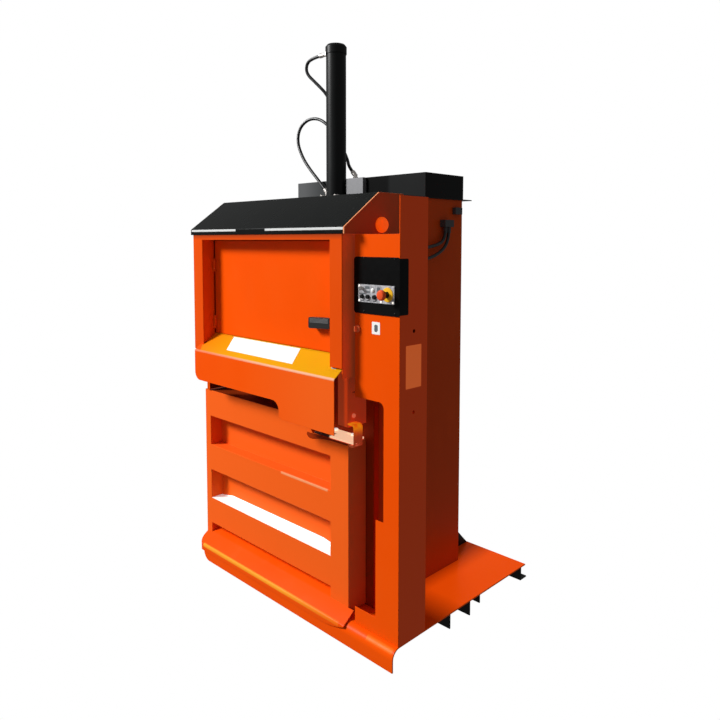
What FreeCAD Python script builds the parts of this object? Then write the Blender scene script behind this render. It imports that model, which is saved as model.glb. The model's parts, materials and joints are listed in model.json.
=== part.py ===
import FreeCAD, Part
import math
import os
import re

import Sketcher

doc = FreeCAD.newDocument("VerticalBaler")

# Driving sizes in millimetres. Heights ending in _z are measured from the floor.
sizes = {
    "base_w": 1280,       # base, left to right
    "base_d": 898,        # base, front to back
    "base_h": 84,         # floor to the top of the deck
    "deck_t": 6,
    "deck_bend": 40,      # outer radius of the deck's front bend
    "deck_clip": 40,      # clipped front left corner of the deck
    "deck_round": 45,     # lower left corner of the deck's front flange
    "deck_step": 32,      # column front behind the deck's front flange
    "bearer_foot": 50,
    "foot_in": 160,       # a foot's ends inside the ends of its bearer
    "bearer_lift": 25,    # third bearer above the floor
    "bearer_side": 20,
    "bearer_front": 331,  # three bearers behind the column front
    "bearer_middle": 465,
    "bearer_rear": 535,
    "gusset_in": 85,
    "gusset_h": 182,
    "gusset_t": 8,
    "col_w": 240,
    "col_d": 152,
    "col_z": 1703,
    "skin_t": 3,
    "panel_z": 1570,      # top of the column's front panel
    "panel_in": 18,       # gap between chamber wall and front panel
    "window_low_z": 150,
    "window_step_z": 522,
    "window_top_z": 964,
    "window_jamb_low": 114,
    "window_jamb_top": 75,
    "window_round": 24,
    "eye_high_z": 1225,   # two holes in the column's side
    "eye_low_z": 931,
    "eye_in": 78,
    "lock_in": 33,
    "lock_z": 1222,
    "lock_r": 9,
    "shelf_t": 3,
    "tank_h": 120,
    "chamber_w": 1022,
    "chamber_d": 682,
    "wall_t": 5,
    "wall_z": 1725,
    "roof_t": 4,
    "roof_tail": 60,
    "frame_out": 50,      # upper front frame in front of the column
    "frame_t": 4,
    "frame_flange": 58,
    "sill_z": 1034,
    "post_left": 77,
    "post_right": 67,
    "opening_z": 1549,
    "hood_lip_z": 1572,
    "hood_lip": 25,
    "hood_run": 185,
    "hood_rise": 132,
    "hood_side": 16,
    "hood_edge": 7,       # thickness of the hood's side plates
    "ledge_back_z": 1108,
    "ledge_front_z": 1036,
    "hood_round": 8,
    "ledge_out": 32,
    "ledge_in": 50,       # left end of the ledge inside the chamber's left wall
    "lip_left_z": 897,
    "lip_right_z": 825,
    "lip_step_x": 60,
    "lip_step_round": 25,
    "lip_round": 40,
    "door_in": 21,        # door front behind the column front
    "door_t": 97,
    "door_low_z": 92,
    "door_top_z": 822,
    "door_step_z": 765,
    "door_step_x": 132,
    "door_left_out": 28,
    "door_right_in": 40,
    "door_skin": 4,
    "groove_deep": 62,
    "groove_rise": 142,
    "groove_top_z": 695,
    "groove_pitch": 267,
    "groove_left": 42,
    "groove_right": 104,
    "skirt_low_z": 42,
    "skirt_play": 1,      # the skirt's lip in front of the deck's flange
    "skirt_over": 30,     # the skirt's right end beyond the door
    "skirt_round": 371,   # the lip's lower edge rises to the right along this radius
    "skirt_run": 139,
    "jamb_w": 55,
    "jamb_gap": 2,
    "bolt_travel": 30,
    "play": 0.3,          # clearance between sliding faces
    "hinge_r": 11,
    "hinge_pin_r": 5,
    "pin_play": 0.05,
    "hatch_t": 25,
    "hatch_gap": 3,
    "hatch_in": 66,       # hatch front behind the frame face
    "hatch_knuckle_r": 6,
    "hatch_pin_r": 3,
    "handle_in": 57,
    "handle_z": 1228,
    "spindle_r": 6,
    "housing_w": 224,
    "housing_low_z": 1285,
    "housing_top_z": 1484,
    "housing_deep": 44,
    "bezel_edge": 4,
    "bezel_w": 24,
    "plate_w": 178,
    "plate_low_z": 1323,
    "plate_h": 65,
    "plate_t": 3,
    "stop_bore_r": 11,
    "button_bore_r": 8,
    "key_bore_r": 6,
    "barrel_r": 46,
    "bore_r": 38,
    "barrel_low_z": 1660,
    "barrel_top_z": 2398,
    "rod_r": 22.5,
    "platen_low_z": 1570,
    "platen_t": 70,
    "platen_gap": 12,
    "cover_low": 101,
    "cover_w": 822,
    "cover_d": 259,
    "cover_front": 419,   # rear cover front behind the column front
    "notch_back": 56,     # the cover's notch behind the cylinder axis
    "notch_left": 66,
    "notch_right": 175,
    "block_play": 3,
    "cyl_back": 397,      # cylinder axis behind the column front
    "flange_half": 62,
    "flange_t": 18,
    "flange_bolt_r": 8,
    "port_up": 21,        # lower port of the cylinder above the roof
    "stub_r": 8,
    "hose_d": 15,
    "cable_d": 14,
    "gland_r": 8.5,
}

# Planes and axes worked out from the driving sizes.
places = {
    "right": "base_w / 2",
    "left": "-base_w / 2",
    "flange_y": "-base_d / 2",
    "tail_y": "base_d / 2",
    "front": "flange_y + deck_step",
    "col_back": "front + col_d",
    "wall_r": "right - col_w",
    "wall_l": "wall_r - chamber_w",
    "in_r": "wall_r - wall_t",
    "in_l": "wall_l + wall_t",
    "back": "front + chamber_d",
    "in_back": "back - wall_t",
    "face": "front - frame_out",
    "roof_z": "wall_z + roof_t",
    "open_l": "wall_l + post_left",
    "open_r": "wall_r - post_right",
    "door_f": "front + door_in",
    "door_b": "door_f + door_t",
    "door_l": "wall_l - door_left_out",
    "door_r": "wall_r - door_right_in",
    "jamb_y": "door_b + jamb_gap",
    "jamb_back": "jamb_y + wall_t",
    "lip_f": "face - ledge_out",
    "ledge_l": "wall_l + ledge_in",
    "hatch_f": "face + hatch_in",
    "hatch_b": "hatch_f + hatch_t",
    "cyl_x": "(wall_l + wall_r) / 2",
    "cyl_y": "front + cyl_back",
    "cover_f": "front + cover_front",
    "cover_b": "cover_f + cover_d",
    "cover_r": "wall_r + 8",
    "cover_l": "cover_r - cover_w",
    "cover_z": "roof_z + cover_low",
    "hood_f": "face - skin_t",
    "hood_top_y": "hood_f + hood_run",
    "hood_top_z": "hood_lip_z + hood_lip + hood_rise",
    "skirt_y": "flange_y - skirt_play - skin_t",
    "skirt_r": "door_r + skirt_over",
    "handle_x": "open_r - handle_in",
    "lock_x": "wall_r + lock_in",
    "housing_l": "right - housing_w",
    "housing_r": "right + 2",
    "plate_r": "right - 21",
    "plate_l": "plate_r - plate_w",
    "plate_y": "front - skin_t - plate_t",
    "notch_l": "cyl_x - notch_left",
    "notch_r": "cyl_x + notch_right",
    "notch_y": "cyl_y + notch_back",
    "stop_x": "plate_r - 31",
    "stop_z": "plate_low_z + 33",
    "button_z": "plate_low_z + 21",
    "key_x": "plate_l + 22",
    "key_z": "plate_low_z + 51",
    "upper_gland_z": "panel_z - 67",
    "lower_gland_z": "panel_z - 121",
    "gland_x": "wall_r + 37",
    "socket_x": "wall_r + 16",
    "port_z": "roof_z + port_up",
    "back_entry_x": "cyl_x - 73",
    "back_entry_y": "cyl_y + 68",
    "side_entry_x": "cyl_x + 85",
    "side_entry_y": "cyl_y + 42",
}

sheet = doc.addObject("Spreadsheet::Sheet", "Sizes")
for row, (alias, amount) in enumerate(sizes.items(), start=1):
    sheet.set(f"A{row}", alias.replace("_", " "))
    sheet.set(f"B{row}", str(amount))
    sheet.setAlias(f"B{row}", alias)
doc.recompute()


def formula(text):
    """A formula with every size and place named by its sheet."""

    def owner(match):
        word = match.group()
        if word in sizes:
            return "Sizes." + word
        if word in places:
            return "Places." + word
        return word

    return re.sub(r"[a-z]\w*", owner, str(text))


place_sheet = doc.addObject("Spreadsheet::Sheet", "Places")
for row, (alias, text) in enumerate(places.items(), start=1):
    place_sheet.set(f"A{row}", alias.replace("_", " "))
    place_sheet.set(f"B{row}", "=" + re.sub("Places.", "", formula(text)))
    place_sheet.setAlias(f"B{row}", alias)
doc.recompute()

gauge = doc.addObject("App::FeaturePython", "Gauge")
gauge.addProperty("App::PropertyFloat", "Amount")
nodes = {}


def number(text):
    """The present value of a formula, in millimetres."""
    gauge.setExpression("Amount", formula(text))
    gauge.recompute()
    return gauge.Amount


def node(name, piece):
    """Makes a piece of the document a named sub-part."""
    piece.Label = name
    nodes[name] = piece
    return piece


def box(x, y, z):
    """A block between a low and a high formula on each axis."""
    piece = doc.addObject("Part::Box", "Block")
    for side, axis, (low, high) in zip(("Length", "Width", "Height"), "xyz", (x, y, z)):
        piece.setExpression(side, formula(f"({high}) - ({low})"))
        piece.setExpression(f"Placement.Base.{axis}", formula(low))
    return piece


turns = {
    "x": FreeCAD.Rotation(FreeCAD.Vector(0, 1, 0), 90),
    "y": FreeCAD.Rotation(FreeCAD.Vector(1, 0, 0), -90),
    "-y": FreeCAD.Rotation(FreeCAD.Vector(1, 0, 0), 90),
    "z": FreeCAD.Rotation(),
    "-z": FreeCAD.Rotation(FreeCAD.Vector(1, 0, 0), 180),
    "-x": FreeCAD.Rotation(FreeCAD.Vector(0, 1, 0), -90),
    "up_left": FreeCAD.Rotation(FreeCAD.Vector(0, 1, 0), -45),
}


def settle(piece, centre, axis):
    """Turns a piece's own Z to an axis and puts its origin at a point."""
    piece.Placement = FreeCAD.Placement(FreeCAD.Vector(), turns[axis])
    for letter, text in zip("xyz", centre):
        piece.setExpression(f"Placement.Base.{letter}", formula(text))
    return piece


def rod(centre, axis, radius, length):
    """A cylinder that starts at a point and runs along an axis."""
    piece = doc.addObject("Part::Cylinder", "Rod")
    piece.setExpression("Radius", formula(radius))
    piece.setExpression("Height", formula(length))
    return settle(piece, centre, axis)


def hexagon(centre, axis, radius, length):
    """A hexagonal prism, radius over its corners."""
    piece = doc.addObject("Part::Prism", "Hexagon")
    piece.Polygon = 6
    piece.setExpression("Circumradius", formula(radius))
    piece.setExpression("Height", formula(length))
    return settle(piece, centre, axis)


def fuse(*pieces):
    joined = doc.addObject("Part::MultiFuse", "Joined")
    joined.Shapes = list(pieces)
    joined.Refine = True
    return joined


def cut(base, *tools):
    shaped = doc.addObject("Part::Cut", "Shaped")
    shaped.Base = base
    shaped.Tool = tools[0] if len(tools) == 1 else fuse(*tools)
    return shaped


def group(*pieces):
    """Several solids of one kind in one sub-part."""
    together = doc.addObject("Part::Compound", "Set")
    together.Links = list(pieces)
    return together


def draw(body, plane, outline, holes=()):
    """A sketch of closed outlines, every corner bound to its formulas."""
    sketch = body.newObject("Sketcher::SketchObject", "Outline")
    base = [item for item in body.Origin.OriginFeatures if item.Role == plane + "_Plane"][0]
    sketch.AttachmentSupport = [(base, "")]
    sketch.MapMode = "FlatFace"
    for loop in (outline, *holes):
        first = sketch.GeometryCount
        count = len(loop)
        corners = [FreeCAD.Vector(number(corner[0]), number(corner[1]), 0) for corner in loop]
        for index in range(count):
            line = Part.LineSegment(corners[index], corners[(index + 1) % count])
            sketch.addGeometry(line, False)
        for index in range(count):
            after = first + (index + 1) % count
            sketch.addConstraint(Sketcher.Constraint("Coincident", first + index, 2, after, 1))
        for index, (corner, point) in enumerate(zip(loop, corners)):
            for kind, text, amount in (
                ("DistanceX", corner[0], point.x),
                ("DistanceY", corner[1], point.y),
            ):
                rule = Sketcher.Constraint(kind, -1, 1, first + index, 1, amount)
                place = sketch.addConstraint(rule)
                sketch.setExpression(f"Constraints[{place}]", formula(text))
    return sketch


def round_corners(body, feature, loops, key):
    """Rounds each corner that gives a radius as its third value."""
    doc.recompute()
    radii = {}
    for loop in loops:
        for corner in loop:
            if len(corner) > 2:
                radii.setdefault(corner[2], []).append((number(corner[0]), number(corner[1])))
    for radius, points in radii.items():
        names = []
        for index, edge in enumerate(feature.Shape.Edges, start=1):
            middle = edge.valueAt((edge.FirstParameter + edge.LastParameter) / 2)
            spots = [key(vertex.Point) for vertex in edge.Vertexes] + [key(middle)]
            for point in points:
                if all(math.dist(spot, point) < 0.01 for spot in spots):
                    names.append(f"Edge{index}")
        fillet = body.newObject("PartDesign::Fillet", "Round")
        fillet.Base = (feature, names)
        fillet.setExpression("Radius", formula(radius))
        body.Tip = fillet
        doc.recompute()
        feature = fillet
    return body


def pad(plane, outline, low, high, holes=()):
    """A plate or profile: outlines in a plane, between two places across it."""
    body = doc.addObject("PartDesign::Body", "Profile")
    sketch = draw(body, plane, outline, holes)
    offset = f"-({high})" if plane == "XZ" else low
    sketch.setExpression(".AttachmentOffset.Base.z", formula(offset))
    feature = body.newObject("PartDesign::Pad", "Pad")
    feature.Profile = sketch
    feature.setExpression("Length", formula(f"({high}) - ({low})"))
    body.Tip = feature
    keys = {
        "XY": lambda point: (point.x, point.y),
        "XZ": lambda point: (point.x, point.z),
        "YZ": lambda point: (point.y, point.z),
    }
    return round_corners(body, feature, (outline, *holes), keys[plane])


def turned(outline, centre, axis):
    """A turned piece: an outline of radius and height, spun about its axis."""
    body = doc.addObject("PartDesign::Body", "Turning")
    sketch = draw(body, "XZ", outline)
    feature = body.newObject("PartDesign::Revolution", "Spin")
    feature.Profile = sketch
    feature.ReferenceAxis = (sketch, ["V_Axis"])
    feature.Angle = 360
    body.Tip = feature
    round_corners(body, feature, (outline,), lambda point: (math.hypot(point.x, point.y), point.z))
    return settle(body, centre, axis)


def rounded_corner(x, y, z, roller):
    """What a corner loses when it is rounded: a block without the part in a rod."""
    return cut(box(x, y, z), roller)


def rectangle(u, v):
    """The four corners of a rectangle from two pairs of limits."""
    return [(u[0], v[0]), (u[1], v[0]), (u[1], v[1]), (u[0], v[1])]


# Base --------------------------------------------------------------------


def make_base():
    deck = pad(
        "YZ",
        [
            ("flange_y", 0),
            ("flange_y + deck_t", 0),
            ("flange_y + deck_t", "base_h - deck_t", "deck_bend - deck_t"),
            ("tail_y", "base_h - deck_t"),
            ("tail_y", "base_h"),
            ("flange_y", "base_h", "deck_bend"),
        ],
        "left",
        "right",
    )
    clip = pad(
        "XY",
        [("left", "flange_y"), ("left + deck_clip", "flange_y"), ("left", "flange_y + deck_clip")],
        0,
        "base_h",
    )
    end_x = "left + deck_clip"
    corner = rounded_corner(
        ("left", f"{end_x} + deck_round"),
        ("flange_y - 1", "flange_y + deck_clip"),
        (0, "deck_round"),
        rod((f"{end_x} + deck_round", "flange_y - 1", "deck_round"), "y", "deck_round", "deck_clip + 1"),
    )
    node("base_deck", cut(deck, clip, corner))

    bearers = []
    under = "base_h - deck_t"
    ends = ("left + 2 * bearer_side", "right - bearer_side")
    short_ends = (f"{ends[0]} + foot_in", f"{ends[1]} - foot_in")
    webs = (
        ("front + bearer_front", "-bearer_foot", "deck_t", "0", short_ends),
        ("front + bearer_middle", "-bearer_foot", "deck_t", "0", short_ends),
        ("front + bearer_rear", "0", "bearer_foot", "bearer_lift", short_ends),
        ("tail_y - deck_t", "0", "bearer_foot", "0", ends),
    )
    for web_y, toe, heel, low, across in webs:
        web = box(ends, (web_y, f"{web_y} + deck_t"), (low, under))
        foot = box(across, (f"{web_y} + {toe}", f"{web_y} + {heel}"), (low, f"{low} + deck_t"))
        bearers.append(fuse(web, foot))
    node("base_bearers", group(*bearers))

    gussets = []
    for middle in ("wall_r - gusset_in", "wall_l + gusset_in"):
        outline = [("back", "base_h"), ("tail_y - 4", "base_h"), ("back", "base_h + gusset_h")]
        gussets.append(pad("YZ", outline, f"{middle} - gusset_t / 2", f"{middle} + gusset_t / 2"))
    node("rear_gussets", group(*gussets))


# Press chamber -----------------------------------------------------------


def make_chamber():
    wall = [
        ("jamb_back", "base_h"),
        ("jamb_back", "sill_z"),
        ("face + frame_t", "sill_z"),
        ("face + frame_t", "hood_lip_z + hood_lip - 1"),
        ("hood_top_y - 2", "wall_z"),
        ("back", "wall_z"),
        ("back", "base_h"),
    ]
    sides = [pad("YZ", wall, "wall_l", "in_l"), pad("YZ", wall, "in_r", "wall_r")]
    back = box(("in_l", "in_r"), ("in_back", "back"), ("base_h", "wall_z"))
    node("chamber_shell", fuse(back, *sides))

    slots = []
    for step in (-1, 0, 1):
        middle = f"cyl_x + {step} * chamber_w / 4"
        slots.append(rectangle((f"{middle} - 7", f"{middle} + 7"), ("jamb_back + 40", "in_back - 40")))
    floor_outline = rectangle(("in_l", "in_r"), ("jamb_back", "in_back"))
    floor = pad("XY", floor_outline, "base_h", "base_h + deck_t", slots)
    node("chamber_floor", floor)

    jambs = []
    for across in (("in_r - jamb_w", "wall_r"), ("wall_l", "in_l + jamb_w")):
        jambs.append(box(across, ("jamb_y", "jamb_back"), ("base_h", "sill_z")))
    node("door_jambs", group(*jambs))

    beam_outer = rectangle(("cyl_y - 60", "cyl_y + 60"), ("platen_low_z + platen_t + 18", "wall_z"))
    beam_inner = rectangle(("cyl_y - 54", "cyl_y + 54"), ("platen_low_z + platen_t + 24", "wall_z - 6"))
    beam = pad("YZ", beam_outer, "in_l", "in_r", [beam_inner])
    barrel_way = rod(("cyl_x", "cyl_y", "barrel_low_z - 60"), "z", "barrel_r + 1", 200)
    node("cylinder_beam", cut(beam, barrel_way, bolt_holes()))

    roof = box(("wall_l", "cover_r"), ("hood_top_y + 2", "back + roof_tail"), ("wall_z", "roof_z"))
    roof_way = rod(("cyl_x", "cyl_y", "wall_z - 10"), "z", "barrel_r + 1", 40)
    node("roof_plate", cut(roof, roof_way, bolt_holes()))


def bolt_holes():
    """Four holes for the bolts that hold the cylinder's flange."""
    return fuse(*[rod((x, y, "wall_z - 30"), "z", "flange_bolt_r + 0.5", 80) for x, y in flange_corners()])


def flange_corners():
    reach_x = "(flange_half - 16)"
    reach_y = "(flange_half - 20)"
    return [(f"cyl_x + {i} * {reach_x}", f"cyl_y + {j} * {reach_y}") for i in (-1, 1) for j in (-1, 1)]


# Upper front, sill and hood ----------------------------------------------


def make_front():
    face = pad(
        "XZ",
        [
            ("wall_l", "sill_z"),
            ("open_l", "sill_z"),
            ("open_l", "opening_z"),
            ("open_r", "opening_z"),
            ("open_r", "sill_z + 38"),
            ("wall_r", "sill_z + 38"),
            ("wall_r", "hood_lip_z + hood_lip - 6"),
            ("wall_l", "hood_lip_z + hood_lip - 6"),
        ],
        "face",
        "face + frame_t",
    )
    flange = pad(
        "XZ",
        [
            ("open_l - skin_t", "sill_z + 38"),
            ("open_l", "sill_z + 38"),
            ("open_l", "opening_z"),
            ("open_r", "opening_z"),
            ("open_r", "sill_z + 38"),
            ("open_r + skin_t", "sill_z + 38"),
            ("open_r + skin_t", "opening_z + skin_t"),
            ("open_l - skin_t", "opening_z + skin_t"),
        ],
        "face + frame_t",
        "face + frame_t + frame_flange",
    )
    # A bent tab on the right post, which the hatch cam turns in behind.
    tab_z = ("handle_z - 30", "handle_z + 30")
    stem = box(("open_r", "open_r + skin_t"), ("face + frame_t", "hatch_b + skin_t"), tab_z)
    tab = box(("open_r", "open_r + 22"), ("hatch_b", "hatch_b + skin_t"), tab_z)
    node("front_frame", fuse(face, flange, stem, tab))

    # The sloped ledge, its rear flange and the hanging lip are one folded sheet.
    slope = "(ledge_back_z - ledge_front_z) / (hatch_f - 2 - lip_f)"
    fold = [
        ("hatch_f - 2", "sill_z + 18"),
        ("hatch_f - 2", "ledge_back_z"),
        ("lip_f", "ledge_front_z"),
        ("lip_f", "lip_right_z"),
        ("lip_f + skin_t", "lip_right_z"),
        ("lip_f + skin_t", f"ledge_front_z - 4 + skin_t * {slope}"),
        ("hatch_f - 2 - skin_t", f"ledge_back_z - 4 - skin_t * {slope}"),
        ("hatch_f - 2 - skin_t", "sill_z + 18"),
    ]
    ledge = pad("YZ", fold, "ledge_l", "wall_r - 9")
    behind_posts = []
    for across in (("ledge_l - 9", "open_l + 1"), ("open_r - 1", "wall_r")):
        behind_posts.append(box(across, ("face", "front + 20"), ("sill_z - 40", "ledge_back_z + 9")))
    step_end = "lip_step_x + lip_step_round + 14"
    step = pad(
        "XZ",
        [
            ("ledge_l - 9", "lip_right_z - 9"),
            (step_end, "lip_right_z - 9"),
            (step_end, "lip_right_z"),
            ("lip_step_x", "lip_right_z", "lip_step_round"),
            ("lip_step_x", "lip_left_z", "lip_round"),
            ("ledge_l - 9", "lip_left_z"),
        ],
        "lip_f - 1",
        "lip_f + skin_t + 1",
    )
    corner = rounded_corner(
        ("ledge_l - 1", "ledge_l + lip_round"),
        ("lip_f - 1", "lip_f + skin_t + 1"),
        ("lip_left_z - 1", "lip_left_z + lip_round"),
        rod(
            ("ledge_l + lip_round", "lip_f - 2", "lip_left_z + lip_round"),
            "y",
            "lip_round",
            "skin_t + 4",
        ),
    )
    node("apron", cut(ledge, *behind_posts, step, corner))

    # The lintel over the door, between the jambs, and the shelf under the hatch.
    lintel = pad(
        "XZ",
        [
            ("in_l + jamb_w", "door_step_z - 30"),
            ("in_r - jamb_w", "door_step_z - 30"),
            ("in_r - jamb_w", "sill_z"),
            ("in_r", "sill_z"),
            ("in_r", "sill_z + 26"),
            ("in_l", "sill_z + 26"),
            ("in_l", "sill_z"),
            ("in_l + jamb_w", "sill_z"),
        ],
        "jamb_y",
        "jamb_back",
    )
    shelf = box(("in_l", "door_r - 24"), ("hatch_f - 2", "jamb_y"), ("sill_z + 23", "sill_z + 26"))
    node("sill_panel", fuse(lintel, shelf))

    cheek = pad(
        "XY",
        [
            ("door_r - 35", "door_f"),
            ("door_r", "door_f"),
            ("door_r", "jamb_y"),
            ("door_r - 4", "jamb_y"),
            ("door_r - 4", "door_f + 4"),
            ("door_r - 35", "door_f + 4"),
        ],
        "door_top_z + 7",
        "sill_z - 4",
    )
    node("door_cheek", cheek)

    # The hood: a short lip, the slope and a flat that lies on the roof plate.
    pitch = "hood_rise / hood_run"
    drop = f"skin_t * sqrt(1 + ({pitch}) ^ 2)"
    under_z = f"hood_lip_z + hood_lip + skin_t * {pitch} - {drop}"
    under_y = "hood_top_y + skin_t * 0.55"
    hood = [
        ("hood_f", "hood_lip_z"),
        ("hood_f", "hood_lip_z + hood_lip", "hood_round"),
        ("hood_top_y", "roof_z + skin_t"),
        ("hood_top_y + 24", "roof_z + skin_t"),
        ("hood_top_y + 24", "roof_z"),
        (under_y, "roof_z"),
        ("face", under_z, "hood_round - skin_t"),
        ("face", "hood_lip_z"),
    ]
    node("hood", pad("YZ", hood, "wall_l - hood_side + hood_edge", "wall_r + hood_side - hood_edge"))
    side = [
        ("hood_f", "hood_lip_z"),
        ("hood_f", "hood_lip_z + hood_lip", "hood_round"),
        ("hood_top_y", "roof_z + skin_t"),
        ("hood_top_y + 140", "roof_z + skin_t"),
        ("hood_top_y + 140", "hood_lip_z"),
    ]
    right_side = pad("YZ", side, "wall_r + hood_side - hood_edge", "wall_r + hood_side")
    left_side = pad("YZ", side, "wall_l - hood_side", "wall_l - hood_side + hood_edge")
    node("hood_sides", group(right_side, left_side))
    dome = [(0, 0), (30, 0), (30, 10), (22, 20), (0, 24)]
    node("signal_dome", turned(dome, ("wall_r + hood_side", "front + 141", "hood_lip_z + 35"), "x"))


def make_rear_cover():
    outer = [
        ("cover_l", "cover_f"),
        ("notch_l", "cover_f"),
        ("notch_l", "notch_y"),
        ("notch_r", "notch_y"),
        ("notch_r", "cover_f"),
        ("cover_r", "cover_f", 4),
        ("cover_r", "cover_b"),
        ("cover_l", "cover_b"),
    ]
    inner = [
        ("cover_l + skin_t", "cover_f + skin_t"),
        ("notch_l - skin_t", "cover_f + skin_t"),
        ("notch_l - skin_t", "notch_y + skin_t"),
        ("notch_r + skin_t", "notch_y + skin_t"),
        ("notch_r + skin_t", "cover_f + skin_t"),
        ("cover_r - skin_t", "cover_f + skin_t"),
        ("cover_r - skin_t", "cover_b - skin_t"),
        ("cover_l + skin_t", "cover_b - skin_t"),
    ]
    shell = pad("XY", outer, "roof_z", "cover_z")
    room = pad("XY", inner, "roof_z - 1", "cover_z - skin_t")
    back_way, side_way = [rod((x, y, "cover_z - 20"), "z", "stub_r", 40) for x, y in hose_entries]
    node("rear_cover", cut(shell, room, back_way))
    # The valve block stands in the cover's notch, to the right of the cylinder's flange.
    block = box(
        ("cyl_x + flange_half + 2", "notch_r - block_play"),
        ("cyl_y + 2", "notch_y - block_play"),
        ("roof_z", "cover_z"),
    )
    node("valve_block", cut(block, side_way))


# Control column ----------------------------------------------------------


def make_column():
    panel_l = "wall_r + panel_in"
    window = [
        (panel_l + " - 9", "window_low_z"),
        ("right - window_jamb_low", "window_low_z"),
        ("right - window_jamb_low", "window_step_z"),
        ("right - window_jamb_top", "window_step_z"),
        ("right - window_jamb_top", "window_top_z", "window_round"),
        (panel_l + " - 9", "window_top_z"),
    ]
    panel = box((panel_l, "right"), ("front", "front + skin_t"), ("base_h", "panel_z"))
    opening = pad("XZ", window, "front - 5", "front + 9")
    recess_x = ("housing_l + bezel_w", "right + 9")
    recess_y = ("front - 9", "front + housing_deep")
    recess_z = ("housing_low_z", "housing_top_z")
    lock_way = rod(("lock_x", "front - 5", "lock_z"), "y", "lock_r", 20)
    node("column_front_panel", cut(panel, opening, box(recess_x, recess_y, recess_z), lock_way))

    side = pad(
        "YZ",
        [
            ("front + skin_t", "base_h"),
            ("front + skin_t", "panel_z"),
            ("front", "panel_z"),
            ("front", "col_z"),
            ("col_back", "col_z"),
            ("col_back", "base_h"),
        ],
        "right - skin_t",
        "right",
    )
    eyes = [rod(("right - 9", "front + eye_in", z), "x", 7, 20) for z in ("eye_high_z", "eye_low_z")]
    side_notch = box(("right - 9", "right + 9"), recess_y, recess_z)
    back = box(("wall_r", "right - skin_t"), ("col_back - skin_t", "col_back"), ("base_h", "panel_z"))
    ways = [rod(("gland_x", "col_back - 9", z), "y", "gland_r", 20) for z in gland_heights]
    node("column_side_panel", cut(fuse(side, back), side_notch, *eyes, *ways))
    room_x = ("wall_r", "right - skin_t")
    room_y = ("front + skin_t", "col_back - skin_t")
    low = "window_top_z + 15"
    top_shelf = box(room_x, room_y, ("panel_z - shelf_t", "panel_z"))
    node("column_shelves", group(top_shelf, box(room_x, room_y, (f"{low} - shelf_t", low))))

    middle_x = "(wall_r + right) / 2"
    middle_y = "(front + col_back) / 2"
    tank_top = f"{low} + tank_h"
    tank = box(("wall_r + 30", "right - 15"), ("front + 15", "col_back - 20"), (low, tank_top))
    pump = box(
        (f"{middle_x} - 45", f"{middle_x} + 45"),
        (f"{middle_y} - 44", f"{middle_y} + 44"),
        (tank_top, f"{tank_top} + 25"),
    )
    motor = rod((middle_x, middle_y, f"{tank_top} + 25"), "z", 48, "tank_h - 2")
    node("power_unit", fuse(tank, pump, motor))

    glands = []
    for z in gland_heights:
        glands.append(cut(
            fuse(
                hexagon(("gland_x", "col_back", z), "y", "gland_r + 6", 6),
                rod(("gland_x", "col_back + 6", z), "y", "cable_d / 2 + 3", 9),
                rod(("gland_x", "col_back - 8", z), "y", "gland_r - pin_play", 10),
            ),
            rod(("gland_x", "col_back + 8", z), "y", "cable_d / 2 + pin_play", 20),
        ))
    node("column_glands", group(*glands))


def make_controls():
    bezel_z = ("housing_low_z - bezel_edge", "housing_top_z + bezel_edge")
    bezel = pad(
        "XZ",
        [
            ("housing_l", bezel_z[0], 12),
            ("housing_r", bezel_z[0], 9),
            ("housing_r", bezel_z[1], 9),
            ("housing_l", bezel_z[1], 12),
        ],
        "front - skin_t",
        "front",
    )
    body_x = ("housing_l + bezel_w", "housing_r")
    body = pad(
        "XZ",
        [
            (body_x[0], "housing_low_z"),
            (body_x[1], "housing_low_z", 6),
            (body_x[1], "housing_top_z", 6),
            (body_x[0], "housing_top_z"),
        ],
        "front",
        "front + housing_deep",
    )
    room = box(
        (f"{body_x[0]} + skin_t", f"{body_x[1]} - skin_t"),
        ("front", "front + housing_deep + 1"),
        ("housing_low_z + skin_t", "housing_top_z - skin_t"),
    )
    bores = [rod((x, "front - 20", z), "y", radius, 40) for x, z, radius in control_bores]
    node("control_housing", cut(fuse(bezel, body), room, *bores))

    plate_z = ("plate_low_z", "plate_low_z + plate_h")
    plate = box(("plate_l", "plate_r"), ("plate_y", "front - skin_t"), plate_z)
    plate_bores = [rod((x, "front - 20", z), "y", radius, 40) for x, z, radius in control_bores]
    node("control_plate", cut(plate, *plate_bores))

    stop_place = ("stop_x", "plate_y", "stop_z")
    ring = [("stop_bore_r", 0), (26, 0), (26, 2), (15, 4), ("stop_bore_r", 4)]
    node("estop_collar", turned(ring, stop_place, "-y"))
    fit = "stop_bore_r - pin_play"
    stem = [(0, -16), (fit, -16), (fit, 22), (6, 22), (6, 33), (0, 33)]
    node("estop_stem", turned(stem, stop_place, "-y"))
    head = [
        ("6 + pin_play", 22.3),
        (13, 22.3),
        (19, 29),
        (19, 36),
        (15, 41),
        (0, 44),
        (0, 34),
        ("6 + pin_play", 34),
    ]
    node("estop_head", turned(head, stop_place, "-y"))
    for (x, z, radius), name in zip(control_bores[1:4], ("start_button", "down_button", "up_button")):
        fit = f"{radius} - pin_play"
        cap = [(0, -12), (fit, -12), (fit, 7), (f"{fit} - 1.5", 8), (0, 8)]
        node(name, turned(cap, (x, "plate_y", z), "-y"))
    x, z, radius = control_bores[4]
    barrel = rod((x, "front + 6", z), "-y", f"{radius} - pin_play", 16)
    bow = box((f"{x} - 1.2", f"{x} + 1.2"), ("front - 26", "front - 10"), (f"{z} - 7", f"{z} + 7"))
    node("key_switch", fuse(barrel, bow))

    fit = "lock_r - pin_play"
    lock = [(0, -14), (fit, -14), (fit, "play"), (14, "play"), (14, 5), (10, 7), (0, 7)]
    lock_body = turned(lock, ("lock_x", "front", "lock_z"), "-y")
    wing = box(("lock_x - 3", "lock_x + 3"), ("front - 18", "front - 6"), ("lock_z - 10", "lock_z + 10"))
    node("panel_lock", fuse(lock_body, wing))


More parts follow.
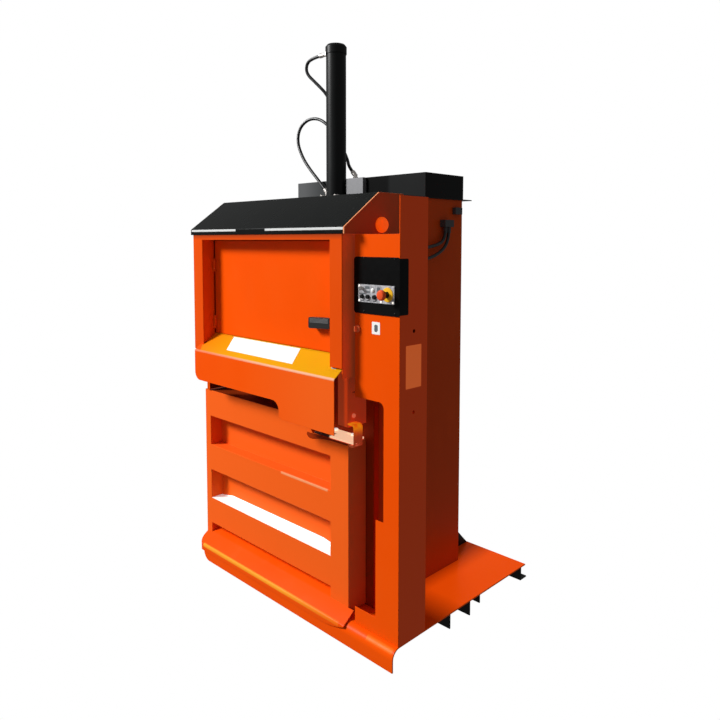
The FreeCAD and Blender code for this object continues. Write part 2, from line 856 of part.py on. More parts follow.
# Lower door --------------------------------------------------------------


def door_outline(inset):
    """The door's stepped face, drawn in by a margin."""
    return [
        (f"door_l + {inset}", f"door_low_z + {inset}"),
        (f"door_r - {inset}", f"door_low_z + {inset}"),
        (f"door_r - {inset}", f"door_step_z - {inset}"),
        (f"door_step_x + 20 - {inset}", f"door_step_z - {inset}"),
        (f"door_step_x - {inset}", f"door_step_z + 20 - {inset}"),
        (f"door_step_x - {inset}", f"door_top_z - {inset}"),
        (f"door_l + {inset}", f"door_top_z - {inset}"),
    ]


def make_door():
    skin = "door_skin"
    case = pad("XZ", door_outline("0"), "door_f", "door_b")
    room = pad("XZ", door_outline(skin), "door_f + door_skin", "door_b + 1")
    trays = []
    grooves = []
    for step in range(3):
        top = f"groove_top_z - {step} * groove_pitch"
        low = "door_low_z + 4" if step == 2 else f"{top} - groove_rise"
        across = ("door_l + groove_left", "door_r - groove_right")
        trays.append(box(
            (f"{across[0]} - {skin}", f"{across[1]} + {skin}"),
            ("door_f", f"door_f + groove_deep + {skin}"),
            (f"{low} - {skin}", f"{top} + {skin}"),
        ))
        grooves.append(box(across, ("door_f - 1", "door_f + groove_deep"), (low, top)))
    node("door_shell", cut(fuse(cut(case, room), *trays), *grooves))
    liner = pad("XZ", door_outline(skin), "door_b - 3", "door_b")
    node("door_liner", liner)
    # The third groove's floor is a ramp that runs out over the deck's bend and turns down.
    ramp_top = "door_low_z + 44"
    knee = "door_low_z + 25"
    lip_top = "base_h - 12"
    ramp = [
        ("door_f + groove_deep - 1", ramp_top),
        ("door_f + groove_deep - 1", f"{ramp_top} - skin_t"),
        ("door_f + 6", f"{knee} - skin_t"),
        ("skirt_y + skin_t", f"{lip_top} - skin_t"),
        ("skirt_y + skin_t", "skirt_low_z"),
        ("skirt_y", "skirt_low_z"),
        ("skirt_y", lip_top, 10),
        ("door_f + 6", knee),
    ]
    sheet_metal = pad("YZ", ramp, "door_l + 6", "skirt_r")
    inside_y = ("door_f", "door_b")
    inside_z = ("base_h", "door_low_z + 60")
    beside_left = box(("door_l", "door_l + groove_left"), inside_y, inside_z)
    beside_right = box(("door_r - groove_right", "skirt_r + 1"), inside_y, inside_z)
    tray_y = ("door_f", "door_f + groove_deep + 1")
    tray_floor = box(("door_l", "door_r"), tray_y, ("base_h", "door_low_z + 4"))
    arc_x = "skirt_r - skirt_run"
    right_end = rounded_corner(
        (arc_x, "skirt_r + 1"),
        ("skirt_y - 1", "skirt_y + skin_t + 1"),
        ("skirt_low_z - 1", f"{lip_top} - skin_t"),
        rod((arc_x, "skirt_y - 2", "skirt_low_z + skirt_round"), "y", "skirt_round", "skin_t + 4"),
    )
    left_x = "door_l + 6"
    left_end = rounded_corner(
        (left_x, f"{left_x} + deck_clip"),
        ("skirt_y - 1", "skirt_y + deck_clip"),
        ("skirt_low_z - 1", "door_low_z + 60"),
        rod((f"{left_x} + deck_clip", "skirt_y + deck_clip", "skirt_low_z - 2"), "z", "deck_clip", 140),
    )
    node("door_skirt", cut(sheet_metal, beside_left, beside_right, tray_floor, right_end, left_end))

    bolt = pad(
        "XY",
        [
            ("door_step_x + 24", "door_f + 5"),
            ("door_r + 20", "door_f + 5", 4),
            ("door_r + 20", "door_f + 25"),
            ("door_r - 7", "door_f + 25"),
            ("door_r - 7", "door_b - 4"),
            ("door_step_x + 24", "door_b - 4"),
        ],
        "door_step_z + play",
        "door_step_z + 8",
    )
    grip = box(
        ("door_step_x + 44", "door_step_x + 52"),
        ("door_f + 12", "door_f + 50"),
        ("door_step_z + 7", "door_step_z + 17"),
    )
    slots = []
    screws = []
    screw_y = "door_b - 17"
    for x in ("door_step_x + 70", "door_step_x + 176"):
        slots.append(box(
            (f"{x} - bolt_travel - 6 - play", f"{x} + 6 + play"),
            (f"{screw_y} - 6 - play", f"{screw_y} + 6 + play"),
            ("door_step_z - 1", "door_step_z + 9"),
        ))
        screws.append(fuse(
            rod((x, screw_y, "door_step_z"), "z", 6, "8 + play"),
            rod((x, screw_y, "door_step_z + 8 + play"), "z", 11, 5),
        ))
    node("latch_bolt", cut(fuse(bolt, grip), *slots))
    node("slide_screws", group(*screws))

    # A bracket open to the left; the bolt slides through the slot in its web.
    keeper = pad(
        "XZ",
        [
            ("door_r", "door_step_z + 76"),
            ("door_r + 32", "door_step_z + 76", 8),
            ("door_r + 32", "door_step_z - 2", 8),
            ("door_r + 8", "door_step_z - 2"),
            ("door_r + 8", "door_step_z - 8"),
            ("door_r + 38", "door_step_z - 8", 14),
            ("door_r + 38", "door_step_z + 82", 14),
            ("door_r", "door_step_z + 82"),
        ],
        "door_f - 4",
        "door_f + 40",
    )
    slot = box(
        ("door_r + 20", "door_r + 50"),
        ("door_f + 3", "door_f + 27"),
        ("door_step_z - 1", "door_step_z + 10"),
    )
    node("latch_keeper", cut(keeper, slot))
    pin_y, pin_z = "door_f + 27", "door_top_z + 50"
    head = hexagon(("door_r", pin_y, pin_z), "x", 9, 6)
    nut = hexagon(("door_r - 10", pin_y, pin_z), "x", 9, 6)
    node("cheek_bolt", group(head, nut))


def make_door_hinges():
    leaves = []
    frames = []
    pins = []
    for z in ("door_low_z + 90", "door_top_z - 150"):
        x, y = hinge_axis
        knuckle = rod((x, y, f"{z} + 20.5"), "z", "hinge_r", 39)
        leaf = box((f"{x}", "door_l"), ("door_b - 70", "door_b - 8"), (f"{z} + 20.5", f"{z} + 59.5"))
        bore = rod((x, y, f"{z} - 5"), "z", "hinge_pin_r + pin_play", 90)
        leaves.append(cut(fuse(knuckle, leaf), bore))
        for low in (z, f"{z} + 60"):
            fixed = rod((x, y, low), "z", "hinge_r", 20)
            web = box((x, "wall_l"), ("jamb_y + 1", "jamb_y + 8"), (low, f"{low} + 20"))
            plate = box(("wall_l - 5", "wall_l"), ("jamb_y + 1", "jamb_y + 90"), (low, f"{low} + 20"))
            frames.append(cut(fuse(fixed, web, plate), rod((x, y, f"{low} - 5"), "z", "hinge_pin_r", 40)))
        pins.append(fuse(
            rod((x, y, z), "z", "hinge_pin_r", 80),
            rod((x, y, f"{z} + 80"), "z", "hinge_pin_r + 3", 4),
        ))
    node("door_hinge_leaves", group(*leaves))
    return frames, pins


# Loading hatch -----------------------------------------------------------


def hatch_outline(inset):
    return rectangle(
        (f"open_l + hatch_gap + {inset}", f"open_r - hatch_gap - {inset}"),
        (f"ledge_back_z + hatch_gap + {inset}", f"opening_z - hatch_gap - {inset}"),
    )


def make_hatch():
    tray = pad("XZ", hatch_outline("0"), "hatch_f", "hatch_b")
    room = pad("XZ", hatch_outline("skin_t"), "hatch_f + skin_t", "hatch_b + 1")
    spindle_way = rod(("handle_x", "hatch_f - 9", "handle_z"), "y", "spindle_r + pin_play", 60)
    rails = []
    for low in ("open_l + 150", "cyl_x + 100"):
        rails.append(box(
            (low, f"{low} + 30"),
            ("hatch_f + skin_t", "hatch_b"),
            ("ledge_back_z + hatch_gap + skin_t", "opening_z - hatch_gap - skin_t"),
        ))
    node("hatch_panel", fuse(cut(tray, room, spindle_way), *rails))

    spindle = rod(("handle_x", "hatch_f - 22", "handle_z"), "y", "spindle_r", "22 + hatch_t + 14")
    boss = [("spindle_r", "play"), (15, "play"), (15, 9), (11, 12), ("spindle_r", 12)]
    collar = turned(boss, ("handle_x", "hatch_f", "handle_z"), "-y")
    grip = pad(
        "XZ",
        [
            ("handle_x - 104", "handle_z - 27", 8),
            ("handle_x + 20", "handle_z - 20", 8),
            ("handle_x + 20", "handle_z + 22", 8),
            ("handle_x - 104", "handle_z + 17", 8),
        ],
        "hatch_f - 34",
        "hatch_f - 12",
    )
    node("hatch_handle", fuse(spindle, collar, grip))
    cam = pad(
        "XZ",
        [
            ("handle_x - 11", "handle_z - handle_in - 14", 6),
            ("handle_x + 11", "handle_z - handle_in - 14", 6),
            ("handle_x + 13", "handle_z + 13"),
            ("handle_x - 13", "handle_z + 13"),
        ],
        "hatch_b + 4",
        "hatch_b + 10",
    )
    node("hatch_cam", cut(cam, rod(("handle_x", "hatch_b", "handle_z"), "y", "spindle_r", 20)))

    leaves = []
    frames = []
    pins = []
    x, y = hatch_axis
    for z in ("ledge_back_z + 40", "opening_z - 133"):
        knuckle = rod((x, y, z), "z", "hatch_knuckle_r", 30)
        leaf = box((x, "open_l + 45"), ("hatch_f - 2.5", "hatch_f"), (z, f"{z} + 30"))
        bore = rod((x, y, f"{z} - 30"), "z", "hatch_pin_r + pin_play", 90)
        leaves.append(cut(fuse(knuckle, leaf), bore))
        for low in (f"{z} - 15.5", f"{z} + 30.5"):
            fixed = rod((x, y, low), "z", "hatch_knuckle_r", 15)
            web = box(("open_l", x), (f"{y} - 6", f"{y} - 1"), (low, f"{low} + 15"))
            plate = box(("open_l", "open_l + 2.5"), (f"{y} - 26", f"{y} - 1"), (low, f"{low} + 15"))
            bore = rod((x, y, f"{low} - 5"), "z", "hatch_pin_r", 40)
            frames.append(cut(fuse(fixed, web, plate), bore))
        pins.append(rod((x, y, f"{z} - 15.5"), "z", "hatch_pin_r", 61))
    node("hatch_hinge_leaves", group(*leaves))
    return frames, pins


# Press cylinder and ram --------------------------------------------------


def make_cylinder():
    tube = rod(("cyl_x", "cyl_y", "barrel_low_z"), "z", "barrel_r", "barrel_top_z - barrel_low_z")
    flange = box(
        ("cyl_x - flange_half", "cyl_x + flange_half"),
        ("cyl_y - flange_half + 6", "cyl_y + flange_half - 8"),
        ("roof_z", "roof_z + flange_t"),
    )
    boss = rod(("cyl_x - barrel_r + 6", "cyl_y", "port_z"), "up_left", 13, 20)
    bore = rod(("cyl_x", "cyl_y", "barrel_low_z - 1"), "z", "bore_r", "barrel_top_z - barrel_low_z + 2")
    node("cylinder_barrel", cut(fuse(tube, flange, boss), bore, bolt_holes()))

    cap = [
        (0, -14),
        ("bore_r - pin_play", -14),
        ("bore_r - pin_play", 0),
        ("barrel_r + 3", 0),
        ("barrel_r + 3", 32),
        ("barrel_r - 5", 42),
        (0, 42),
    ]
    cap_body = turned(cap, ("cyl_x", "cyl_y", "barrel_top_z"), "z")
    port_way = rod(("cyl_x - barrel_r - 9", "cyl_y", "barrel_top_z + 14"), "x", 9, 18)
    node("cylinder_cap", cut(cap_body, port_way))
    fittings = [fuse(
        rod(("cyl_x - barrel_r + 9", "cyl_y", "barrel_top_z + 14"), "-x", "9 - pin_play", 16),
        hexagon(("cyl_x - barrel_r - 6", "cyl_y", "barrel_top_z + 14"), "-x", 13, 16),
        rod(("cyl_x - barrel_r - 22", "cyl_y", "barrel_top_z + 14"), "-x", 9.5, 42),
    )]
    reach = "20 * sqrt(0.5)"
    base = (f"cyl_x - barrel_r + 6 - {reach}", "cyl_y", f"port_z + {reach}")
    far = "32 * sqrt(0.5)"
    ferrule = (f"cyl_x - barrel_r + 6 - {far}", "cyl_y", f"port_z + {far}")
    fittings.append(fuse(hexagon(base, "up_left", 13, 12), rod(ferrule, "up_left", "hose_d / 2 + 2", 22)))
    (back_x, back_y), (side_x, side_y) = hose_entries
    for x, y in hose_entries:
        fittings.append(fuse(
            rod((x, y, "cover_z - 14"), "z", "stub_r - pin_play", 16),
            hexagon((x, y, "cover_z"), "z", "stub_r + 4", 9),
            rod((x, y, "cover_z + 9"), "z", "hose_d / 2 + 1.5", 13),
        ))
    # The side entry has an elbow that turns its hose up to the left at 45 degrees.
    elbow = rod((side_x, side_y, "cover_z + 15"), "up_left", "hose_d / 2 + 1.5", 26)
    fittings[-1] = fuse(fittings[-1], elbow)
    node("hose_fittings", group(*fittings))

    bolts = []
    for x, y in flange_corners():
        bolts.append(fuse(
            rod((x, y, "wall_z - 14"), "z", "flange_bolt_r", "roof_t + flange_t + 14"),
            hexagon((x, y, "roof_z + flange_t"), "z", "flange_bolt_r + 5.5", 10),
            hexagon((x, y, "wall_z - 18"), "z", "flange_bolt_r + 5.5", 12),
        ))
    node("flange_bolts", group(*bolts))

    gland = [
        ("rod_r + pin_play", -8),
        ("barrel_r", -8),
        ("barrel_r", 0),
        ("bore_r - pin_play", 0),
        ("bore_r - pin_play", 40),
        ("rod_r + pin_play", 40),
    ]
    node("cylinder_gland", turned(gland, ("cyl_x", "cyl_y", "barrel_low_z"), "z"))
    piston_z = "barrel_top_z - 14 - 20 - 40"
    node("piston", cut(
        rod(("cyl_x", "cyl_y", piston_z), "z", "bore_r - 0.1", 40),
        rod(("cyl_x", "cyl_y", f"{piston_z} - 1"), "z", "rod_r - 6", 42),
    ))
    platen_top = "platen_low_z + platen_t"
    shaft = fuse(
        rod(("cyl_x", "cyl_y", platen_top), "z", "rod_r", f"{piston_z} - ({platen_top})"),
        rod(("cyl_x", "cyl_y", piston_z), "z", "rod_r - 6", 46),
    )
    node("piston_rod", shaft)


def make_platen():
    platen_x = ("in_l + platen_gap", "in_r - platen_gap")
    platen_y = ("jamb_back + 6", "in_back - platen_gap")
    top = "platen_low_z + platen_t"
    plate = box(platen_x, platen_y, ("platen_low_z", "platen_low_z + 12"))
    ribs = []
    for x in ("cyl_x - 300", "cyl_x - 60", "cyl_x + 52", "cyl_x + 292"):
        ribs.append(box((x, f"{x} + 8"), platen_y, ("platen_low_z + 12", f"{top} - 10")))
    for y in ("cyl_y - 60", "cyl_y + 52"):
        ribs.append(box(platen_x, (y, f"{y} + 8"), ("platen_low_z + 12", f"{top} - 10")))
    boss = box(("cyl_x - 70", "cyl_x + 70"), ("cyl_y - 60", "cyl_y + 60"), (f"{top} - 10", top))
    node("platen", fuse(plate, boss, *ribs))
    shoes = []
    for low, high in (("in_l + 0.6", "in_l + platen_gap"), ("in_r - platen_gap", "in_r - 0.6")):
        for y in ("jamb_back + 20", "in_back - 120"):
            shoes.append(box((low, high), (y, f"{y} + 80"), ("platen_low_z + 1", "platen_low_z + 11")))
    node("platen_shoes", group(*shoes))


# Hoses and cables --------------------------------------------------------


def tube(route, diameter, label):
    """A tube along straight runs joined by arcs as large as the runs allow."""
    points = [FreeCAD.Vector(*point) for point in route]
    edges = []
    radii = []
    begin = points[0]
    for before, corner, after in zip(points, points[1:], points[2:]):
        inward = (before - corner).normalize()
        outward = (after - corner).normalize()
        half_turn = (math.pi - inward.getAngle(outward)) / 2
        trim = 0.45 * min(corner.distanceToPoint(before), corner.distanceToPoint(after))
        radii.append(trim / math.tan(half_turn))
        start = corner + inward * trim
        end = corner + outward * trim
        bisector = (inward + outward).normalize()
        depth = radii[-1] / math.cos(half_turn) - radii[-1]
        edges.append(Part.LineSegment(begin, start).toShape())
        edges.append(Part.Arc(start, corner + bisector * depth, end).toShape())
        begin = end
    edges.append(Part.LineSegment(begin, points[-1]).toShape())
    path = Part.Wire(edges)
    ring = Part.Wire(Part.Circle(points[0], points[1] - points[0], diameter / 2).toShape())
    piece = doc.addObject("Part::Feature", "Tube")
    piece.Shape = path.makePipeShell([ring], True, False)
    section = math.pi * diameter ** 2 / 4
    print(label, "length", round(path.Length), "least radius", round(min(radii), 1),
          "volume ratio", round(piece.Shape.Volume / (section * path.Length), 3))
    return piece


def from_place(x, y, z, offsets):
    """Points given as offsets from a place of the machine."""
    start = (number(x), number(y), number(z))
    return [tuple(a + b for a, b in zip(start, offset)) for offset in offsets]


def make_cords():
    # Both hoses are set out from the cylinder's axis at the height of the roof plate.
    top_route = from_place("cyl_x", "cyl_y", "roof_z", [
        (-110, 0, 683),
        (-151, 0, 683),
        (-207, 1, 671),
        (-221, 8, 623),
        (-165, 22, 571),
        (-103, 46, 505),
        (-75, 68, 401),
        (-69, 72, 291),
        (-73, 68, 196),
        (-73, 68, 123),
    ])
    node("top_hose", tube(top_route, number("hose_d"), "top hose"))
    low_route = from_place("cyl_x", "cyl_y", "roof_z", [
        (-78.2, 0, 59.2),
        (-123, 0, 104),
        (-181, 0, 156),
        (-240, 1, 218),
        (-287, 6, 296),
        (-285, 14, 365),
        (-239, 26, 407),
        (-175, 38, 409),
        (-112, 42, 376),
        (-62, 50, 320),
        (-24, 62, 256),
        (8, 66, 196),
        (40, 42, 161),
        (66.6, 42, 134.4),
    ])
    node("low_hose", tube(low_route, number("hose_d"), "low hose"))

    # Both cables run along the chamber's right wall, from the socket to the column's glands.
    upper_route = from_place("wall_r", "col_back", "upper_gland_z", [
        (16, 391, 103),
        (16, 391, 72),
        (20, 365, 37),
        (27, 285, 19),
        (32, 195, 13),
        (36, 100, 5),
        (37, 40, 0),
        (37, 8, 0),
    ])
    lower_route = from_place("wall_r", "col_back", "lower_gland_z", [
        (16, 415, 157),
        (16, 415, 119),
        (20, 385, 69),
        (27, 305, 33),
        (32, 215, 19),
        (36, 115, 7),
        (37, 43, 0),
        (37, 8, 0),
    ])
    node("upper_cable", tube(upper_route, number("cable_d"), "upper cable"))
    node("lower_cable", tube(lower_route, number("cable_d"), "lower cable"))

    socket_z = "upper_gland_z + 103"
    socket_y = ("col_back + 373", "col_back + 433")
    socket = box(("wall_r", "wall_r + 30"), socket_y, (socket_z, f"{socket_z} + 30"))
    sensor = box(("wall_r", "wall_r + 18"), ("back - 70", "back - 22"), ("wall_z - 63", "wall_z - 33"))
    node("wall_boxes", group(socket, sensor))


hose_entries = [("back_entry_x", "back_entry_y"), ("side_entry_x", "side_entry_y")]
gland_heights = ("upper_gland_z", "lower_gland_z")
control_bores = [
    ("stop_x", "stop_z", "stop_bore_r"),
    ("key_x + 62", "button_z", "button_bore_r"),
    ("key_x + 29", "button_z", "button_bore_r"),
    ("key_x", "button_z", "button_bore_r"),
    ("key_x", "key_z", "key_bore_r"),
]
hinge_axis = ("door_l - 12", "door_b - 1")
hatch_axis = ("open_l + 8.5", "hatch_f - 7")

make_base()
make_chamber()
make_front()
make_rear_cover()
make_column()
make_controls()
make_door()
door_frames, door_pins = make_door_hinges()
hatch_frames, hatch_pins = make_hatch()
node("frame_knuckles", group(*door_frames, *hatch_frames))
node("hinge_pins", group(*door_pins, *hatch_pins))
make_cylinder()
make_platen()
make_cords()
doc.recompute()

for item in doc.Objects:
    if {"Invalid", "Error"} & set(item.State):
        raise RuntimeError(f"{item.Name} {item.Label} did not build")
os.makedirs("parts", exist_ok=True)
for name, piece in nodes.items():
    shape = piece.Shape
    if shape.isNull() or not shape.isValid():
        raise RuntimeError(f"{name} has no valid shape")
    shape.exportStep(f"parts/{name}.step")
print(len(nodes), "sub-parts written")
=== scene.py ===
import json
import math
import bmesh
import bpy
from mathutils import Matrix, Vector


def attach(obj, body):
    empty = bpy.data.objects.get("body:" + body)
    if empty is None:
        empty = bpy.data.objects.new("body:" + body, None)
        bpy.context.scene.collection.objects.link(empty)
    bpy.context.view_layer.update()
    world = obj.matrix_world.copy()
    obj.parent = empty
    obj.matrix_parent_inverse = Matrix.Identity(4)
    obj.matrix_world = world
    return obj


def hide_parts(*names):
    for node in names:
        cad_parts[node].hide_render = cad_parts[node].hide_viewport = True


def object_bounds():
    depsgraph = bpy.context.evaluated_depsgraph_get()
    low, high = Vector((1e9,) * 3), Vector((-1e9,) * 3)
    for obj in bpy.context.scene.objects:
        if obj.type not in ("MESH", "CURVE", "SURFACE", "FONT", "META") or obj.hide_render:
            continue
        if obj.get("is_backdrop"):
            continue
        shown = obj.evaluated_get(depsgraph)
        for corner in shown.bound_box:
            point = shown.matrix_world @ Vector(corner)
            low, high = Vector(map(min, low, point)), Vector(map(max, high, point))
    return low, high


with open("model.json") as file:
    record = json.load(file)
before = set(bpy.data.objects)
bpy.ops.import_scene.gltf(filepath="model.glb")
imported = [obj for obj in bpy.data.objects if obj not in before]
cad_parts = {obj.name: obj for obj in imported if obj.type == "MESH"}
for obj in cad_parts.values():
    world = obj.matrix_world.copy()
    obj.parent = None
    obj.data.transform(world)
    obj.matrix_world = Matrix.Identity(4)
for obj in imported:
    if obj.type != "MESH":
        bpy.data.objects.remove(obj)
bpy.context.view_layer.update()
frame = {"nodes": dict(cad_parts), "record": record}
nodes = frame["nodes"]
scene = bpy.context.scene
print("frame loaded:", len(nodes), "nodes")

# Camera: where the photograph was taken from, worked out from the machine's straight edges.
camera = {
    "place": (2.1567, -2.1222, 1.544),
    "turnLeft": 44.137,
    "tiltDown": 3.923,
    "roll": 0.110,
    "focalPixels": 659.2,
    "centrePixel": (371.3, 286.55),
    "picture": 720,
}


def placeCamera():
    lens = bpy.data.cameras.new("camera")
    lens.lens = camera["focalPixels"] * lens.sensor_width / camera["picture"]
    lens.shift_x = -(camera["centrePixel"][0] / camera["picture"] - 0.5)
    lens.shift_y = camera["centrePixel"][1] / camera["picture"] - 0.5
    lens.clip_start = 0.05
    lens.clip_end = 100
    holder = bpy.data.objects.new("camera", lens)
    scene.collection.objects.link(holder)
    turn, tilt, roll = (math.radians(camera[key]) for key in ("turnLeft", "tiltDown", "roll"))
    holder.matrix_world = (
        Matrix.Translation(camera["place"])
        @ Matrix.Rotation(turn, 4, "Z")
        @ Matrix.Rotation(math.pi / 2 - tilt, 4, "X")
        @ Matrix.Rotation(roll, 4, "Z")
    )
    scene.camera = holder


placeCamera()
print("camera placed")


# A shader value. Sums and products on it add Math nodes.
class Value:
    def __init__(self, finish, socket):
        self.finish = finish
        self.socket = socket

    def combine(self, operation, first, second):
        return self.finish.node("ShaderNodeMath", {"operation": operation}, {0: first, 1: second})

    def __add__(self, other):
        return self.combine("ADD", self, other)

    def __radd__(self, other):
        return self.combine("ADD", other, self)

    def __sub__(self, other):
        return self.combine("SUBTRACT", self, other)

    def __rsub__(self, other):
        return self.combine("SUBTRACT", other, self)

    def __mul__(self, other):
        return self.combine("MULTIPLY", self, other)

    def __rmul__(self, other):
        return self.combine("MULTIPLY", other, self)

    def __gt__(self, other):
        return self.combine("GREATER_THAN", self, other)

    def __lt__(self, other):
        return self.combine("LESS_THAN", self, other)


class Finish:
    def __init__(self, name, fixed):
        self.material = bpy.data.materials.new(name)
        self.material.use_nodes = True
        self.tree = self.material.node_tree
        self.shader = self.tree.nodes["Principled BSDF"]
        self.place = self.node("ShaderNodeTexCoord", {}, {}, "Object")
        self.facing = self.node("ShaderNodeTexCoord", {}, {}, "Normal")
        for socket, amount in fixed.items():
            self.shader.inputs[socket].default_value = amount

    def node(self, kind, settings, inputs, output=0):
        made = self.tree.nodes.new(kind)
        for setting, choice in settings.items():
            if setting == "stops":
                ramp = made.color_ramp.elements
                while len(ramp) < len(choice):
                    ramp.new(0.5)
                for stop, (position, shade) in zip(ramp, choice):
                    stop.position = position
                    stop.color = shade if hasattr(shade, "__len__") else (shade, shade, shade, 1)
            else:
                setattr(made, setting, choice)
        for socket, given in inputs.items():
            self.feed(made.inputs[socket], given)
        return Value(self, made.outputs[output])

    def feed(self, socket, given):
        if isinstance(given, Value):
            self.tree.links.new(given.socket, socket)
        else:
            socket.default_value = given

    def set(self, socket, given):
        self.feed(self.shader.inputs[socket], given)

    # Noise from 0 to 1 with features of about `size` metres, drawn out by `stretch`.
    def noise(self, size, detail=3.0, stretch=(1, 1, 1), rough=0.55):
        place = self.node(
            "ShaderNodeVectorMath", {"operation": "MULTIPLY"}, {0: self.place, 1: [s / size for s in stretch]}
        )
        inputs = {"Vector": place, "Scale": 1.0, "Detail": detail, "Roughness": rough}
        return self.node("ShaderNodeTexNoise", {}, inputs, "Fac")

    def ramp(self, value, *stops):
        return self.node("ShaderNodeValToRGB", {"stops": stops}, {"Fac": value})

    def range(self, value, low, high, fromLow=0.0, fromHigh=1.0):
        inputs = {"Value": value, "From Min": fromLow, "From Max": fromHigh, "To Min": low, "To Max": high}
        return self.node("ShaderNodeMapRange", {}, inputs)

    def mix(self, factor, first, second):
        return self.node("ShaderNodeMix", {"data_type": "RGBA"}, {0: factor, 6: first, 7: second}, 2)

    def axis(self, letter, source=None):
        return self.node("ShaderNodeSeparateXYZ", {}, {0: source or self.place}, letter.upper())

    # 1 within the line's width of a level line along x, fading out over the same width again.
    def fold(self, line):
        level = self.node(
            "ShaderNodeCombineXYZ", {}, {"X": 0.0, "Y": self.axis("y"), "Z": self.axis("z")}
        )
        places = {0: level, 1: (0.0, line["y"], line["z"])}
        away = self.node("ShaderNodeVectorMath", {"operation": "DISTANCE"}, places, "Value")
        near = self.range(away, 1.0, 0.0, line["width"], 2 * line["width"])
        across = self.axis("x")
        return near * (across > line["left"]) * (across < line["right"])

    # Light from the room that a lamp doesn't bring to this place.
    def glow(self, colour):
        self.set("Emission Color", colour)
        self.set("Emission Strength", 1.0)

    def bump(self, height, distance, strength=1.0):
        inputs = {"Height": height, "Distance": distance, "Strength": strength}
        self.set("Normal", self.node("ShaderNodeBump", {}, inputs))


def shade(red, green, blue):
    return (red, green, blue, 1.0)


# Powder coat: a fine orange-peel skin, slow shifts of tone, and handling marks that dull or polish it.
orangePaint = {
    "tone": shade(0.905, 0.083, 0.0006),
    "warm": shade(0.93, 0.092, 0.0014),
    "dust": shade(0.86, 0.115, 0.009),
    "gloss": (0.32, 0.44),
    "peel": 0.0035,
    "peelDepth": 0.00010,
    "drift": 0.45,
    "smear": 0.09,
    "floorDust": (0.16, 0.0, 0.05, 0.30),
}


def makeOrangePaint(name, grime, field=None):
    paint = orangePaint
    finish = Finish(name, {"IOR": 1.48, "Specular IOR Level": 0.045})
    slow = finish.ramp(finish.noise(paint["drift"], 2.0), (0.35, 0.0), (0.7, 1.0))
    blotches = finish.noise(paint["smear"], 5.0, (1.0, 1.0, 0.6), 0.65)
    smears = finish.ramp(blotches, (0.5, 0.0), (0.82, 1.0))
    settled = finish.range(finish.axis("z"), *paint["floorDust"])
    colour = finish.mix(slow, paint["tone"], paint["warm"])
    if field:
        colour = field(finish, colour)
    finish.set("Base Color", finish.mix(smears * (grime + settled), colour, paint["dust"]))
    finish.set("Roughness", finish.range(smears, *paint["gloss"]))
    finish.bump(finish.noise(paint["peel"], 1.0), paint["peelDepth"])
    return finish.material


# Tones for painted light and shade on the orange paint: painted highlights in amber, peach and pale orange,
# painted shade in dark, brownish, greyish and deep tones, and a near black.
tones = {
    "amber": shade(0.95, 0.36, 0.025),
    "peach": shade(0.95, 0.36, 0.16),
    "pale": shade(0.94, 0.135, 0.014),
    "paintedShade": shade(0.34, 0.046, 0.010),
    "shaded": shade(0.50, 0.19, 0.060),
    "shadeGrey": shade(0.90, 0.094, 0.030),
    "nearBlack": shade(0.010, 0.010, 0.010),
    "inside": shade(0.16, 0.016, 0.003),
}
# Light thrown back into places that the lamps leave in shade.
thrown = {
    "none": shade(0.0, 0.0, 0.0),
    "post": shade(0.080, 0.014, 0.0055),
    "deck": shade(0.560, 0.050, 0.0008),
    "cheek": shade(0.150, 0.022, 0.0065),
    "cheekLit": shade(0.300, 0.030, 0.0060),
}

# The fields below paint light and shade into the orange paint over one node. Places are in metres, and a
# group of four
# numbers is a fade: its amounts, then where it starts and ends.

# The ledge's slope is painted amber as painted top light, deeper towards its left end, with a painted peach
# highlight along its front edge. The lip is painted paler, as painted light.
ledge = {
    "deep": shade(0.80, 0.215, 0.002),
    "bright": shade(0.74, 0.345, 0.004),
    "deepening": (0.0, 1.0, -0.538, -0.25),
    "slopeZ": 1.0385,
    "leftEnd": (0.0, 1.0, -0.538, -0.526),
    "leftEndY": -0.491,
    "leftEndSlant": -0.92,
    "lipPale": (0.0, 0.8, -0.2, 0.3),
    "edge": {"y": -0.499, "z": 1.036, "width": 0.0035, "left": -0.7, "right": 0.7},
    "edgeTone": shade(0.95, 0.52, 0.33),
    "edgeAmount": (0.35, 0.86, -0.45, 0.0),
}


def ledgePaint(finish, colour):
    across, along, up = (finish.axis(letter) for letter in "xyz")
    colour = finish.mix(finish.range(across, *ledge["lipPale"]), colour, tones["pale"])
    amber = finish.mix(finish.range(across, *ledge["deepening"]), ledge["deep"], ledge["bright"])
    fromLeft = across - (along - ledge["leftEndY"]) * ledge["leftEndSlant"]
    slope = (up > ledge["slopeZ"]) * finish.range(fromLeft, *ledge["leftEnd"])
    colour = finish.mix(slope, colour, amber)
    edge = finish.fold(ledge["edge"]) * finish.range(across, *ledge["edgeAmount"])
    return finish.mix(edge, colour, ledge["edgeTone"])


# The chamber's right wall is painted darker, as painted shade, and its strip beside the post gets painted
# light from the room, as a glow.
rightWall = {"x": 0.3985, "paintedShade": 0.66, "stripY": -0.27, "stripZ": 1.0}


def wallPaint(finish, colour):
    right = finish.axis("x") > rightWall["x"]
    strip = (finish.axis("y") < rightWall["stripY"]) * (finish.axis("z") > rightWall["stripZ"])
    finish.glow(finish.mix(right * strip, thrown["none"], thrown["post"]))
    return finish.mix(right * (1 - strip) * rightWall["paintedShade"], colour, tones["paintedShade"])


# The sill panel, the door jambs and the sheets that share their paint are painted darker: painted shade
# inside the machine.
insideShadeAmount = 0.8


def insidePaint(finish, colour):
    return finish.mix(insideShadeAmount, colour, tones["inside"])


# The column's right-facing side is painted greyer, a painted shade tint, and the flange inside the window is
# painted darker, as painted shade.
columnSide = {"facing": 0.7, "innerX": 0.630, "paintedShade": 0.5, "grey": 0.6}


